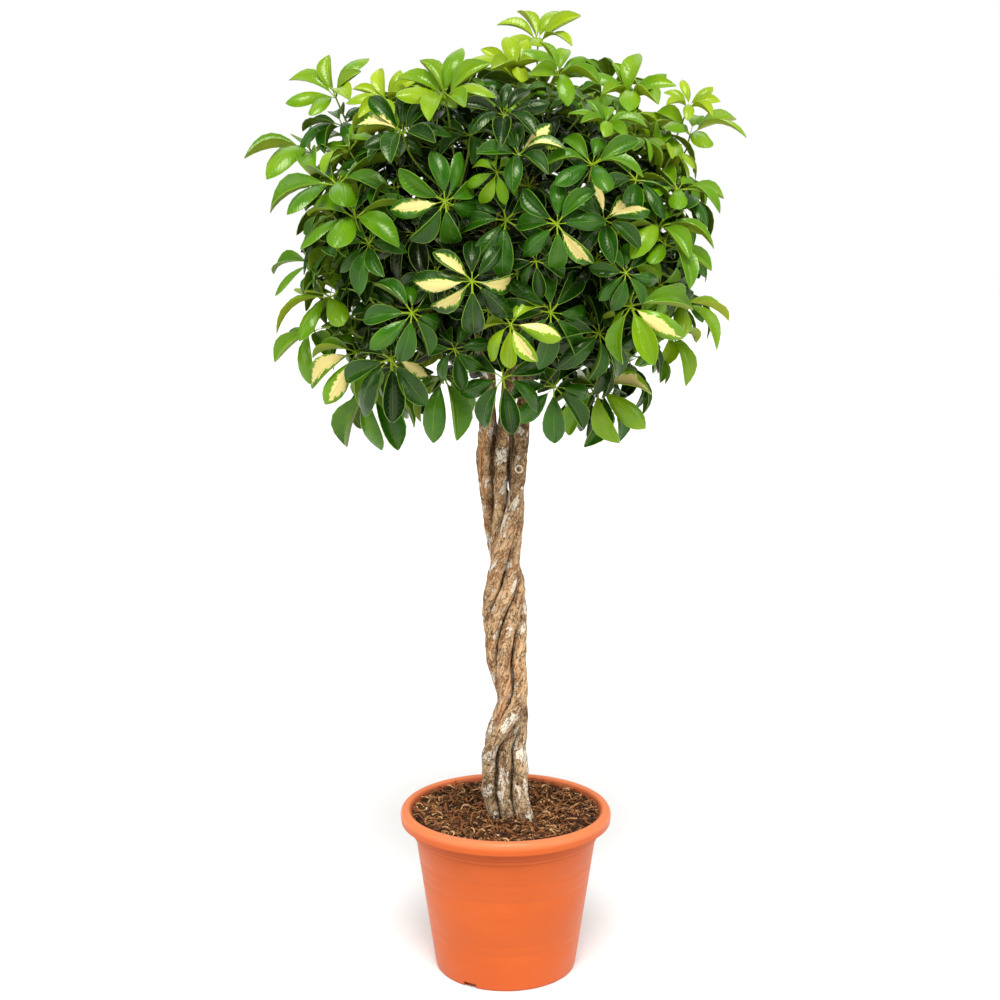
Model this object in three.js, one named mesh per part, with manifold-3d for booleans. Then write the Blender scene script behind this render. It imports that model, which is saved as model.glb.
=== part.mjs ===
// A potted umbrella tree: five woody stems twisted into one trunk, a round head of palmate leaves, soil
// and a round plastic pot. Millimetres, +Z up. The origin is the middle of the pot's underside.
// Each stem is one body from the soil to its twigs, and each leafy shoot is one body with its leaves.

import * as THREE from "three";
import { mergeVertices } from "three/addons/utils/BufferGeometryUtils.js";
import Module from "manifold-3d";

const wasm = await Module();
wasm.setup();

// Pot
const POT_HEIGHT = 217.5;
const RIM_RADIUS = 140;
const RIM_BEAD_WIDTH = 15;
const RIM_BEAD_HEIGHT = 17;
const BASE_RADIUS = 93.5;
const WALL_TOP_RADIUS = 123;
const POT_WALL = 2.6;
const POT_FLOOR = 3;
const POT_SIDES = 32;
const SLOT_COUNT = 3;
const SLOT_SIZE = { along: 19, deep: 14, high: 6.5 };
const SLOT_TURN = 240;

// Soil
const SOIL_TOP = 201;
const SOIL_DISH = 10;
const SOIL_RINGS = 5;
const SOIL_SIDES = 20;
const HOLE_SIDES = 8;
const SOIL_ROUGHNESS = 3.2;
const CLEARANCE = 0.35;

// Trunk: five stems, seated three and two in a flat bundle that turns as it climbs
const STEM_FOOT = 110;
const BUNDLE_FOOT = 206;
const TRUNK_TOP = 742;
const STEM_STEP = 29;
const STEM_SIDES = 7;
const STEM_SEATS = [
  { along: -19.8, across: -8.8, radius: 9.3 },
  { along: 0.2, across: -9.8, radius: 9.0 },
  { along: 20.2, across: -8.6, radius: 9.9 },
  { along: 10.4, across: 9.4, radius: 9.6 },
  { along: -9.6, across: 9.6, radius: 9.2 },
];
const QUARTER_TURNS = [[202, -0.3], [272, 0], [364, 1], [476, 2], [549, 3], [690, 4], [742, 4.3]];
const BUNDLE_SPREAD = [[202, 1.12], [269, 1.06], [364, 1.02], [560, 1], [690, 1.16], [742, 1.24]];
const CENTRE_LINE = [
  [202, 11], [235, 1], [269, -1], [302, -5.5], [367, 8], [416, -2],
  [448, -3.5], [480, -0.5], [512, 3], [549, -1.5], [623, -0.5], [690, -6],
];

// Head of leaves: the hubs of the leaves lie on a rounded shell about this centre
const HEAD_CENTRE = new THREE.Vector3(-2, 0, 958);
const SHELL = new THREE.Vector3(226, 218, 192);
const SHELL_POWER = 2.7;
const UP = new THREE.Vector3(0, 0, 1);

// Twigs: each stem's leader climbs near the axis and sends one twig to each of these directions
const FIRST_SECTOR = 226;
const LEADER_PATH = [[30, 790], [39, 850], [43, 930], [42, 990], [36, 1036]];
const LEADER_RADII = [7.6, 6.8, 5.8, 4.8, 3.8];
const SHOOT_TURNS = [
  { turn: -17, rise: -42 }, { turn: 17, rise: -17 }, { turn: -19, rise: 3 },
  { turn: 18, rise: 24 }, { turn: -14, rise: 46 }, { turn: 12, rise: 72 },
];
const SHOOT_START = 0.47;
const SHOOT_END = 0.72;
const SHOOT_RADIUS = 2.9;
const TWIG_RADIUS = 3.4;
const TWIG_SIDES = 4;
const TWIG_SLOPE = 0.9;

// Leaves
const BLADE = 0.8;
const STALK_RADIUS = 1.3;
const STALK_STEPS = 2;
const NOTCH_RADIUS = 8;
const WIDEST_AT = 0.66;
const HALF_WIDTH = 0.215;
const EDGE_DROP = 0.035;
const OUTWARD_PULL = 1.2;
const ARCH = 0.3;
const CLEAR_LIFTS = [0, 7, -7, 14, -14, 21, -21, 28, -28, 36];
const CLEAR_SPINS = [0, 0.5, 0.25];
const STALK_ROOTS = [0.8, 0.6, 0.4, 0.95];
const SHOOTS_TRIED = 3;
const BACK_LEAF_LATTICE = 110;
const BACK_LEAF_FROM = 10;
const TOP_LEAF_FROM = -120;
const LEAF_SPACING = 68;
const LOWEST_RISE = -0.72;

// The camera of the reference photograph, which places the leaves that it shows
const PHOTO = { back: 1906.9, height: 895.5, pitch: 0.1393, focal: 1487.9, aside: -7.6, middle: 500 };

// Leaves seen in the photograph, as [column, row, lean to the right, lean upwards, leaflet length,
// angle of the leaflets above the leaf's plane, leaflets, millimetres behind the shell].
// The column and row are where the leaflets meet; a lean of 0, 0 faces the viewer.
const FRONT_LEAVES = [
  [503, 378, -0.08, 0.35, 66, -18, 7, -14], [472, 281, 0.2, -0.1, 68, -12, 7, -12],
  [557, 224, -0.15, -0.1, 62, -8, 7, -12], [597, 387, -0.3, 0.5, 80, -22, 7, -12],
  [504, 315, -0.28, 0.38, 60, -20, 7, -18], [445, 201, 0.35, -0.3, 67, -14, 7, -10],
  [391, 359, 0.05, 0.6, 74, -28, 7, -8], [412, 313, 0.4, 0.35, 68, -22, 7, -4],
  [538, 44, 0.08, 0.78, 62, 34, 6, 0], [514, 79, 0.0, 0.8, 64, 40, 6, 0],
  [446, 100, -0.1, 0.7, 72, 36, 6, 0], [336, 98, -0.25, 0.7, 70, 36, 6, 0],
  [628, 102, 0.1, 0.76, 68, 34, 6, 0], [690, 135, 0.06, 0.95, 76, 14, 6, 0],
  [312, 154, -0.12, 0.94, 86, 8, 6, 0], [504, 116, 0.05, 0.62, 58, 26, 7, 0],
  [388, 104, -0.25, 0.7, 54, 36, 6, 0], [683, 121, 0.2, 0.68, 46, 32, 6, 0],
  [342, 125, -0.2, 0.88, 66, 4, 6, 0], [403, 134, -0.05, 0.62, 62, 30, 6, 0],
  [519, 151, 0.05, 0.64, 60, 20, 6, 0], [592, 165, 0.15, 0.72, 66, 18, 6, 0],
  [553, 86, 0.35, 0.7, 58, 30, 6, 10], [497, 172, 0.05, 0.4, 42, -24, 6, 0],
  [606, 217, 0.2, 0.45, 58, 8, 7, 0], [536, 261, 0.0, 0.05, 42, -10, 6, 8],
  [337, 185, -0.16, 0.92, 90, 4, 6, 0], [355, 218, -0.2, 0.9, 84, 2, 6, 0],
  [314, 264, -0.25, 0.87, 70, -6, 6, 0], [330, 297, -0.32, 0.86, 84, -4, 6, 0],
  [678, 190, 0.18, 0.92, 70, 2, 6, 0], [662, 215, 0.22, 0.9, 68, 0, 6, 0],
  [666, 245, 0.26, 0.88, 66, -2, 6, 0], [680, 302, 0.34, 0.84, 74, -4, 6, 0],
  [631, 306, -0.5, 0.5, 76, -25, 6, -4], [554, 386, 0.05, 0.45, 74, -25, 7, 6],
  [604, 388, 0.4, 0.7, 84, -30, 6, 36], [370, 386, -0.2, 0.84, 92, -44, 6, 22],
  [443, 376, 0.0, 0.85, 78, -48, 6, 32], [362, 338, 0.3, 0.62, 74, -32, 6, 8],
  [314, 331, -0.3, 0.85, 74, -12, 6, 0], [669, 334, 0.48, 0.72, 68, -8, 6, 6],
  [605, 127, 0.1, 0.8, 48, 26, 6, 20], [369, 244, -0.5, 0.45, 56, 4, 6, 14],
  [622, 274, 0.25, 0.08, 45, -8, 6, 10], [660, 285, 0.6, 0.1, 50, 6, 6, 10],
  [590, 397, 0.0, 0.8, 58, -50, 6, 44], [456, 352, -0.1, 0.3, 50, -20, 6, 34],
];

const radians = THREE.MathUtils.degToRad;

// A share from 0 to 1 for item i of list k, spread evenly, and the same at every run.
function share(i, k) {
  return (i * 0.6180339887 + k * 0.7548776662) % 1;
}

function between(low, high, t) {
  return low + (high - low) * t;
}

// A smooth curve through [place, value] marks.
function through(marks, place) {
  const last = marks.length - 1;
  if (place <= marks[0][0]) return marks[0][1];
  if (place >= marks[last][0]) return marks[last][1];
  const i = marks.findIndex((mark, n) => n > 0 && mark[0] >= place) - 1;
  const slope = (n) => {
    const a = marks[Math.max(n - 1, 0)];
    const b = marks[Math.min(n + 1, last)];
    return (b[1] - a[1]) / (b[0] - a[0]);
  };
  const width = marks[i + 1][0] - marks[i][0];
  const t = (place - marks[i][0]) / width;
  const rise = t * t * (3 - 2 * t);
  return between(marks[i][1], marks[i + 1][1], rise)
    + width * (t * (1 - t) * (1 - t) * slope(i) - t * t * (1 - t) * slope(i + 1));
}

// A closed geometry as a solid.
function solidOf(geometry) {
  const bare = geometry.clone();
  for (const name of ["normal", "uv"]) bare.deleteAttribute(name);
  const merged = mergeVertices(bare, 1e-4);
  return new wasm.Manifold(new wasm.Mesh({
    numProp: 3,
    vertProperties: new Float32Array(merged.attributes.position.array),
    triVerts: new Uint32Array(merged.index.array),
  }));
}

function solidFrom(points, triangles) {
  return new wasm.Manifold(new wasm.Mesh({
    numProp: 3,
    vertProperties: new Float32Array(points.flatMap((p) => [p.x, p.y, p.z])),
    triVerts: new Uint32Array(triangles.flat()),
  }));
}

function geometryOf(solid) {
  const mesh = solid.getMesh();
  const places = new Float32Array(mesh.numVert * 3);
  for (let i = 0; i < mesh.numVert; i++) {
    places.set(mesh.vertProperties.subarray(i * mesh.numProp, i * mesh.numProp + 3), i * 3);
  }
  const geometry = new THREE.BufferGeometry();
  geometry.setAttribute("position", new THREE.BufferAttribute(places, 3));
  geometry.setIndex(new THREE.BufferAttribute(new Uint32Array(mesh.triVerts), 1));
  return geometry;
}

// A solid skinned over rings of points that are listed anticlockwise as seen from the last ring's end.
function skin(rings) {
  const sides = rings[0].length;
  const points = rings.flat();
  const triangles = [];
  for (let r = 0; r + 1 < rings.length; r++) {
    for (let s = 0; s < sides; s++) {
      const a = r * sides + s;
      const b = r * sides + ((s + 1) % sides);
      triangles.push([a, b, b + sides], [a, b + sides, a + sides]);
    }
  }
  const top = (rings.length - 1) * sides;
  for (let s = 1; s + 1 < sides; s++) {
    triangles.push([0, s + 1, s], [top, top + s, top + s + 1]);
  }
  return solidFrom(points, triangles);
}

// A round rod through the points, with one radius for each.
function rod(path, radii, sides) {
  const rings = path.map((point, i) => {
    const along = path[Math.min(i + 1, path.length - 1)].clone().sub(path[Math.max(i - 1, 0)]).normalize();
    const side = new THREE.Vector3(0.31, 0.17, 0.93).cross(along).normalize();
    const over = along.clone().cross(side);
    return Array.from({ length: sides }, (_, s) => {
      const turn = (2 * Math.PI * s) / sides;
      return point.clone()
        .addScaledVector(side, radii[i] * Math.cos(turn))
        .addScaledVector(over, radii[i] * Math.sin(turn));
    });
  });
  return skin(rings);
}

// Pot: a lathed wall with a hollow rolled rim, and drain slots cut through the corner of its foot.
function makePot() {
  const bead = POT_HEIGHT - RIM_BEAD_HEIGHT;
  const crest = RIM_RADIUS - RIM_BEAD_WIDTH / 2;
  const outline = [
    [0, 0], [BASE_RADIUS - 3, 0], [BASE_RADIUS, 3],
    [WALL_TOP_RADIUS, bead], [crest - 3, POT_HEIGHT - 4.5],
    [RIM_RADIUS - 2.8, bead + 9], [RIM_RADIUS - 3, bead], [RIM_RADIUS - 0.9, bead],
    [RIM_RADIUS, bead + 9], [RIM_RADIUS - 2.2, POT_HEIGHT - 4.4], [crest, POT_HEIGHT],
    [crest - 6.2, POT_HEIGHT - 5], [WALL_TOP_RADIUS - POT_WALL, bead],
    [BASE_RADIUS - POT_WALL, POT_FLOOR], [0, POT_FLOOR],
  ].map(([r, z]) => new THREE.Vector2(r, z));
  let pot = solidOf(new THREE.LatheGeometry(outline, POT_SIDES).rotateX(Math.PI / 2));
  for (let i = 0; i < SLOT_COUNT; i++) {
    const slot = new THREE.BoxGeometry(SLOT_SIZE.deep, SLOT_SIZE.along, SLOT_SIZE.high * 2);
    slot.translate(BASE_RADIUS, 0, 0);
    slot.rotateZ(radians(SLOT_TURN + (360 / SLOT_COUNT) * i));
    pot = pot.subtract(solidOf(slot));
  }
  return pot;
}

// Where the middle of one stem is at a height, and its radius there. It runs straight down in the soil.
function stemAt(seat, height) {
  const z = Math.max(height, BUNDLE_FOOT);
  const turn = (through(QUARTER_TURNS, z) * Math.PI) / 2;
  const spread = through(BUNDLE_SPREAD, z);
  const along = seat.along * spread;
  const across = seat.across * spread;
  return {
    x: along * Math.cos(turn) - across * Math.sin(turn) + through(CENTRE_LINE, z),
    y: along * Math.sin(turn) + across * Math.cos(turn),
    radius: seat.radius * (1 + 0.03 * Math.sin(z / 31 + seat.along)),
  };
}

// A stem from its foot, through the bundle and up its leader, all in level rings. Stems whose rings are
// clear of each other at every height never meet.
function makeStrand(seat, leader) {
  const steps = Math.round((TRUNK_TOP - BUNDLE_FOOT) / STEM_STEP);
  const heights = [STEM_FOOT];
  for (let i = 0; i <= steps; i++) heights.push(between(BUNDLE_FOOT, TRUNK_TOP, i / steps));
  const levels = heights.map((z) => {
    const { x, y, radius } = stemAt(seat, z);
    return { centre: new THREE.Vector3(x, y, z), radius, turn: through(QUARTER_TURNS, z) };
  });
  const last = levels[levels.length - 1];
  leader.slice(1).forEach((centre, i) => levels.push({ centre, radius: LEADER_RADII[i], turn: last.turn }));
  return skin(levels.map(({ centre, radius, turn }) => Array.from({ length: STEM_SIDES }, (_, s) => {
    const angle = (2 * Math.PI * s) / STEM_SIDES + (turn * Math.PI) / 2;
    return new THREE.Vector3(radius * Math.cos(angle), radius * Math.sin(angle), 0).add(centre);
  })));
}

// A point of the head, from a compass turn, a rise above level and a share of the shell's size.
function headPoint(turn, rise, size) {
  const t = radians(turn);
  const r = radians(rise);
  return new THREE.Vector3(Math.cos(r) * Math.cos(t), Math.cos(r) * Math.sin(t), Math.sin(r))
    .multiply(SHELL).multiplyScalar(size).add(HEAD_CENTRE);
}

function sectorOf(stem) {
  return FIRST_SECTOR + 72 * stem;
}

// The line of each leafy shoot: a direction for each stem and turn, each a little off the regular one.
function shootLines() {
  const lines = [];
  STEM_SEATS.forEach((_, stem) => {
    SHOOT_TURNS.forEach(({ turn, rise }, n) => {
      const i = lines.length;
      const compass = sectorOf(stem) + turn + between(-6, 6, share(i, 1));
      const lift = rise + between(-5, 5, share(i, 2));
      lines.push({
        stem,
        n,
        start: headPoint(compass, lift, SHOOT_START),
        end: headPoint(compass, lift, SHOOT_END + between(-0.03, 0.05, share(i, 3))),
      });
    });
  });
  return lines;
}

// A woody stem: its strand and leader, with a twig to the start of each of its shoots.
function makeStem(seat, stem, shoots) {
  const top = stemAt(seat, TRUNK_TOP);
  const sector = radians(sectorOf(stem));
  const leader = LEADER_PATH.map(([reach, z]) => (
    new THREE.Vector3(reach * Math.cos(sector), reach * Math.sin(sector), z)));
  leader.unshift(new THREE.Vector3(top.x, top.y, TRUNK_TOP));
  let wood = makeStrand(seat, leader);
  const last = leader[leader.length - 1];
  for (const shoot of shoots) {
    const out = Math.hypot(shoot.start.x - last.x, shoot.start.y - last.y);
    const from = Math.min(Math.max(shoot.start.z - TWIG_SLOPE * out, leader[1].z), last.z - 4);
    const i = Math.max(leader.findIndex((p) => p.z >= from), 1);
    const t = (from - leader[i - 1].z) / (leader[i].z - leader[i - 1].z);
    const root = leader[i - 1].clone().lerp(leader[i], t);
    const ahead = shoot.end.clone().sub(shoot.start).normalize();
    const finish = shoot.start.clone().addScaledVector(ahead, -CLEARANCE);
    const bend = finish.clone().addScaledVector(ahead, -0.4 * finish.distanceTo(root));
    wood = wood.add(rod([root, bend, finish], [TWIG_RADIUS * 1.1, TWIG_RADIUS, SHOOT_RADIUS], TWIG_SIDES));
  }
  return wood;
}

// Where the photograph's column and row lie at a depth.
function seen(column, row, depth) {
  const right = (column - PHOTO.middle) / PHOTO.focal;
  const rise = (PHOTO.middle - row) / PHOTO.focal;
  const ahead = Math.cos(PHOTO.pitch) + rise * Math.sin(PHOTO.pitch);
  const climb = rise * Math.cos(PHOTO.pitch) - Math.sin(PHOTO.pitch);
  const reach = (depth + PHOTO.back) / ahead;
  return new THREE.Vector3(PHOTO.aside + reach * right, depth, PHOTO.height + reach * climb);
}

// The depth of the front of the shell at a place, or the head's middle where the shell doesn't reach.
function shellDepth(place) {
  const across = Math.abs((place.x - HEAD_CENTRE.x) / SHELL.x) ** SHELL_POWER;
  const height = Math.abs((place.z - HEAD_CENTRE.z) / SHELL.z) ** SHELL_POWER;
  return -SHELL.y * Math.max(1 - across - height, 0) ** (1 / SHELL_POWER);
}

function frontLeaves() {
  return FRONT_LEAVES.map(([column, row, leanRight, leanUp, length, raise, leaflets, behind], i) => {
    let hub = seen(column, row, -SHELL.y / 2);
    for (let pass = 0; pass < 6; pass++) {
      hub = seen(column, row, (hub.y + shellDepth(hub) + behind) / 2);
    }
    const toward = -Math.sqrt(Math.max(1 - leanRight ** 2 - leanUp ** 2, 0));
    const facing = new THREE.Vector3(leanRight, toward, leanUp).normalize();
    return { i, hub, facing, length, raise: radians(raise), leaflets };
  });
}

// Leaves on the back, by an even lattice over the shell that keeps clear of the leaves in front.
function backLeaves(front) {
  const made = [];
  for (let k = 0; k < BACK_LEAF_LATTICE; k++) {
    const rise = 1 - (2 * (k + 0.5)) / BACK_LEAF_LATTICE;
    const turn = k * Math.PI * (3 - Math.sqrt(5));
    const flat = Math.sqrt(1 - rise * rise);
    const outward = new THREE.Vector3(flat * Math.cos(turn), flat * Math.sin(turn), rise);
    const fullness = (Math.abs(outward.x) ** SHELL_POWER + Math.abs(outward.y) ** SHELL_POWER
      + Math.abs(outward.z) ** SHELL_POWER) ** (-1 / SHELL_POWER);
    const depth = between(0.94, 1.04, share(k, 4)) * fullness;
    const hub = outward.clone().multiply(SHELL).multiplyScalar(depth).add(HEAD_CENTRE);
    const taken = front.some((leaf) => leaf.hub.distanceTo(hub) < LEAF_SPACING);
    if (hub.y < (rise > 0.6 ? TOP_LEAF_FROM : BACK_LEAF_FROM) || taken || rise < LOWEST_RISE) continue;
    const facing = outward.clone().addScaledVector(UP, between(0.1, 0.45, (rise + 1) / 2)).normalize();
    made.push({
      i: FRONT_LEAVES.length + made.length,
      hub,
      facing,
      length: between(56, 74, share(k, 5)),
      raise: radians(rise > 0.55 ? between(12, 36, share(k, 6)) : between(-18, 0, share(k, 6))),
      leaflets: 6,
    });
  }
  return made;
}

// The leaf's own axes: out along its longest leaflets, across them, and its facing.
function leafAxes(leaf) {
  const outward = leaf.hub.clone().sub(HEAD_CENTRE).setZ(0).normalize();
  const out = outward.multiplyScalar(OUTWARD_PULL).sub(UP);
  out.addScaledVector(leaf.facing, -out.dot(leaf.facing)).normalize();
  return { out, across: leaf.facing.clone().cross(out), facing: leaf.facing };
}

// The direction and length of leaflet n. Those on the outer side are the longest.
function leafletOf(leaf, n, spin) {
  const turn = (2 * Math.PI * (n + between(-0.2, 0.2, share(leaf.i, 7)) + spin)) / leaf.leaflets;
  return { turn, length: leaf.length * (0.93 + 0.07 * Math.cos(turn)) };
}

// A point of the leaf: a distance from the hub along a turn, a distance aside, and a share of the length.
function leafPoint(leaf, axes, hub, turn, reach, aside, length) {
  const t = reach / length;
  const flat = reach * Math.cos(leaf.raise);
  const height = reach * Math.sin(leaf.raise) + ARCH * reach * (1 - t) - EDGE_DROP * Math.abs(aside);
  const x = flat * Math.cos(turn) - aside * Math.sin(turn);
  const y = flat * Math.sin(turn) + aside * Math.cos(turn);
  return hub.clone().addScaledVector(axes.out, x).addScaledVector(axes.across, y)
    .addScaledVector(axes.facing, height);
}

// A leaf: one thin arched blade, its outline cut nearly to the hub between the leaflets, in one skin with
// the stalk that runs down from under the hub to its shoot.
function makeLeaf(leaf, seat, thickness, stalkRadius) {
  const hub = leaf.hub.clone().addScaledVector(leaf.facing, seat.lift + (thickness - BLADE) / 2);

  const axes = leafAxes(leaf);
  const points = [];
  const turns = [];
  const gap = Math.PI / leaf.leaflets;
  for (let n = 0; n < leaf.leaflets; n++) {
    const { turn, length } = leafletOf(leaf, n, seat.spin);
    const wide = HALF_WIDTH * length;
    points.push(
      leafPoint(leaf, axes, hub, turn - gap, NOTCH_RADIUS, 0, length),
      leafPoint(leaf, axes, hub, turn, WIDEST_AT * length, -wide, length),
      leafPoint(leaf, axes, hub, turn, length, 0, length),
      leafPoint(leaf, axes, hub, turn, WIDEST_AT * length, wide, length),
    );
    turns.push(turn - gap, turn - gap / 2, turn, turn + gap / 2);
  }
  const count = points.length;
  const shift = leaf.facing.clone().multiplyScalar(-thickness);
  points.push(...points.map((p) => p.clone().add(shift)), hub.clone());
  const stalk = points.length;
  const third = (2 * Math.PI) / 3;
  const root = seat.shoot.start.clone().lerp(seat.shoot.end, seat.root);
  const end = hub.clone().add(shift);
  const pull = end.clone().addScaledVector(leaf.facing, -0.45 * end.distanceTo(root));
  const curve = new THREE.QuadraticBezierCurve3(root, pull, end);
  for (let k = 0; k <= STALK_STEPS; k++) {
    const along = curve.getTangent(k / STALK_STEPS);
    const side = axes.across.clone().addScaledVector(along, -axes.across.dot(along)).normalize();
    const over = along.clone().cross(side);
    const centre = curve.getPoint(k / STALK_STEPS);
    const lift = k === STALK_STEPS ? stalkRadius * Math.sin(leaf.raise) : 0;
    for (let s = 0; s < 3; s++) {
      const turn = third * s;
      points.push(centre.clone().addScaledVector(side, stalkRadius * Math.cos(turn))
        .addScaledVector(over, stalkRadius * Math.sin(turn)).addScaledVector(leaf.facing, lift));
    }
  }
  const collar = points.length - 3;
  const corner = (i) => collar + ((Math.round((turns[i] - Math.PI / 2) / third) + 3) % 3);
  const triangles = [[stalk, stalk + 2, stalk + 1]];
  for (let i = 0; i < count; i++) {
    const j = (i + 1) % count;
    triangles.push([2 * count, i, j], [i, i + count, j + count], [i, j + count, j]);
    triangles.push([corner(i), j + count, i + count]);
    if (corner(i) !== corner(j)) triangles.push([corner(i), corner(j), j + count]);
  }
  for (let k = 0; k < STALK_STEPS; k++) {
    for (let s = 0; s < 3; s++) {
      const a = stalk + 3 * k + s;
      const b = stalk + 3 * k + ((s + 1) % 3);
      triangles.push([a, b, b + 3], [a, b + 3, a + 3]);
    }
  }
  return solidFrom(points, triangles);
}

// The shoots nearest to a point a little way down the leaf's stalk.
function shootsFor(leaf, shoots) {
  const stalk = leaf.hub.clone().addScaledVector(leaf.facing, -30);
  const span = (shoot) => new THREE.Line3(shoot.start, shoot.end)
    .closestPointToPoint(stalk, true, new THREE.Vector3()).distanceTo(stalk);
  return [...shoots].sort((a, b) => span(a) - span(b)).slice(0, SHOOTS_TRIED);
}

function boxesMeet(a, b) {
  return [0, 1, 2].every((k) => a.min[k] < b.max[k] && b.min[k] < a.max[k]);
}

function meets(solid, other) {
  return boxesMeet(solid.boundingBox(), other.boundingBox()) && solid.intersect(other).volume() > 1e-4;
}

// The seats of a leaf in the order in which they are tried: lifted or lowered along its facing, turned by
// part of a leaflet, and with its stalk from another place or a shoot further off.
function* seatsOf(leaf, shoots) {
  const near = shootsFor(leaf, shoots);
  for (const lift of CLEAR_LIFTS) {
    for (const shoot of near) {
      for (const root of STALK_ROOTS) {
        for (const spin of CLEAR_SPINS) yield { lift, shoot, root, spin };
      }
    }
  }
}

// Each leaf takes the first seat that is clear of all that is there. Where none is, the first one that
// meets only leaves of its own shoot is taken and fused to them; a leaf with neither is left out.
function seatLeaves(leaves, shoots, woods) {
  const taken = woods.map((solid) => ({ solid, shoot: null }));
  for (const shoot of shoots) {
    const middle = shoot.start.clone().lerp(shoot.end, 0.6);
    const radii = [SHOOT_RADIUS, SHOOT_RADIUS * 0.95, SHOOT_RADIUS * 0.5];
    shoot.solid = rod([shoot.start, middle, shoot.end], radii, 5);
    shoot.leaves = [];
    taken.push({ solid: shoot.solid, shoot });
  }
  for (const leaf of leaves) {
    let found = null;
    for (const seat of seatsOf(leaf, shoots)) {
      const guard = makeLeaf(leaf, seat, BLADE + 2 * CLEARANCE, STALK_RADIUS + CLEARANCE);
      const hits = taken.filter((t) => t.solid !== seat.shoot.solid && meets(guard, t.solid));
      if (!hits.length) found = seat;
      if (!hits.length) break;
      if (hits.every((hit) => hit.shoot === seat.shoot)) found ??= seat;
    }
    if (!found) continue;
    const solid = makeLeaf(leaf, found, BLADE, STALK_RADIUS);
    taken.push({ solid, shoot: found.shoot });
    found.shoot.leaves.push(solid);
  }
}

// Soil: fills the pot to below the rim, its top dished and crumbly, with a plain hole for each stem.
function makeSoil() {
  const wallAt = (z) => between(BASE_RADIUS, WALL_TOP_RADIUS, z / (POT_HEIGHT - RIM_BEAD_HEIGHT))
    - POT_WALL - 2 * CLEARANCE;
  const foot = POT_FLOOR + CLEARANCE;
  const rings = [[foot, (BASE_RADIUS - POT_WALL - 4)], [foot + 4, wallAt(foot + 4)]];
  const points = [new THREE.Vector3(0, 0, foot)];
  const triangles = [];
  const circle = (radius, height) => {
    for (let s = 0; s < SOIL_SIDES; s++) {
      const turn = (2 * Math.PI * s) / SOIL_SIDES;
      points.push(new THREE.Vector3(radius * Math.cos(turn), radius * Math.sin(turn), height(s)));
    }
  };
  const side = Math.cos(Math.PI / SOIL_SIDES);
  rings.forEach(([z, radius]) => circle(radius * side, () => z));
  const brim = wallAt(SOIL_TOP + SOIL_DISH) * side;
  for (let r = SOIL_RINGS; r > 0; r--) {
    const size = r / SOIL_RINGS;
    circle(brim * size, (s) => SOIL_TOP + SOIL_DISH * size ** 2
      + SOIL_ROUGHNESS * (r === SOIL_RINGS ? -0.5 : share(s * 7 + r * 31, r) - 0.5));
  }
  points.push(new THREE.Vector3(0, 0, SOIL_TOP));
  const levels = rings.length + SOIL_RINGS;
  for (let s = 0; s < SOIL_SIDES; s++) {
    const next = (s + 1) % SOIL_SIDES;
    triangles.push([0, 1 + next, 1 + s]);
    for (let r = 0; r + 1 < levels; r++) {
      const a = 1 + r * SOIL_SIDES;
      const b = a + SOIL_SIDES;
      triangles.push([a + s, a + next, b + next], [a + s, b + next, b + s]);
    }
    const last = 1 + (levels - 1) * SOIL_SIDES;
    triangles.push([last + s, last + next, points.length - 1]);
  }
  let soil = solidFrom(points, triangles);
  for (const seat of STEM_SEATS) {
    const { x, y } = stemAt(seat, STEM_FOOT);
    const rings = [STEM_FOOT - CLEARANCE, BUNDLE_FOOT].map((z) => {
      const reach = (seat.radius + 1) / Math.cos(Math.PI / HOLE_SIDES);
      return Array.from({ length: HOLE_SIDES }, (_, s) => new THREE.Vector3(
        x + reach * Math.cos((2 * Math.PI * s) / HOLE_SIDES),
        y + reach * Math.sin((2 * Math.PI * s) / HOLE_SIDES),
        z,
      ));
    });
    soil = soil.subtract(skin(rings));
  }
  return soil;
}

const POT_MATERIAL = new THREE.MeshStandardMaterial({ color: 0xe66f3c, roughness: 0.45, metalness: 0 });
const SOIL_MATERIAL = new THREE.MeshStandardMaterial({ color: 0x5a3a22, roughness: 0.95, metalness: 0 });
const BARK_MATERIAL = new THREE.MeshStandardMaterial({ color: 0x9a7b5c, roughness: 0.85, metalness: 0 });
const LEAF_MATERIAL = new THREE.MeshStandardMaterial({ color: 0x3f7a22, roughness: 0.35, metalness: 0 });

const plant = new THREE.Group();

function place(name, solid, material) {
  const mesh = new THREE.Mesh(geometryOf(solid), material);
  mesh.name = name;
  plant.add(mesh);
}

place("pot", makePot(), POT_MATERIAL);
place("soil", makeSoil(), SOIL_MATERIAL);

const shoots = shootLines();
const woods = STEM_SEATS.map((seat, stem) => (
  makeStem(seat, stem, shoots.filter((shoot) => shoot.stem === stem))));
woods.forEach((wood, stem) => place("stem_" + (stem + 1), wood, BARK_MATERIAL));

const front = frontLeaves();
seatLeaves([...front, ...backLeaves(front)], shoots, woods);
shoots.filter((shoot) => shoot.leaves.length).forEach((shoot) => {
  const name = "leafy_shoot_" + (shoot.stem + 1) + "_" + (shoot.n + 1);
  place(name, shoot.leaves.reduce((all, leaf) => all.add(leaf), shoot.solid), LEAF_MATERIAL);
});

export default plant;
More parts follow.
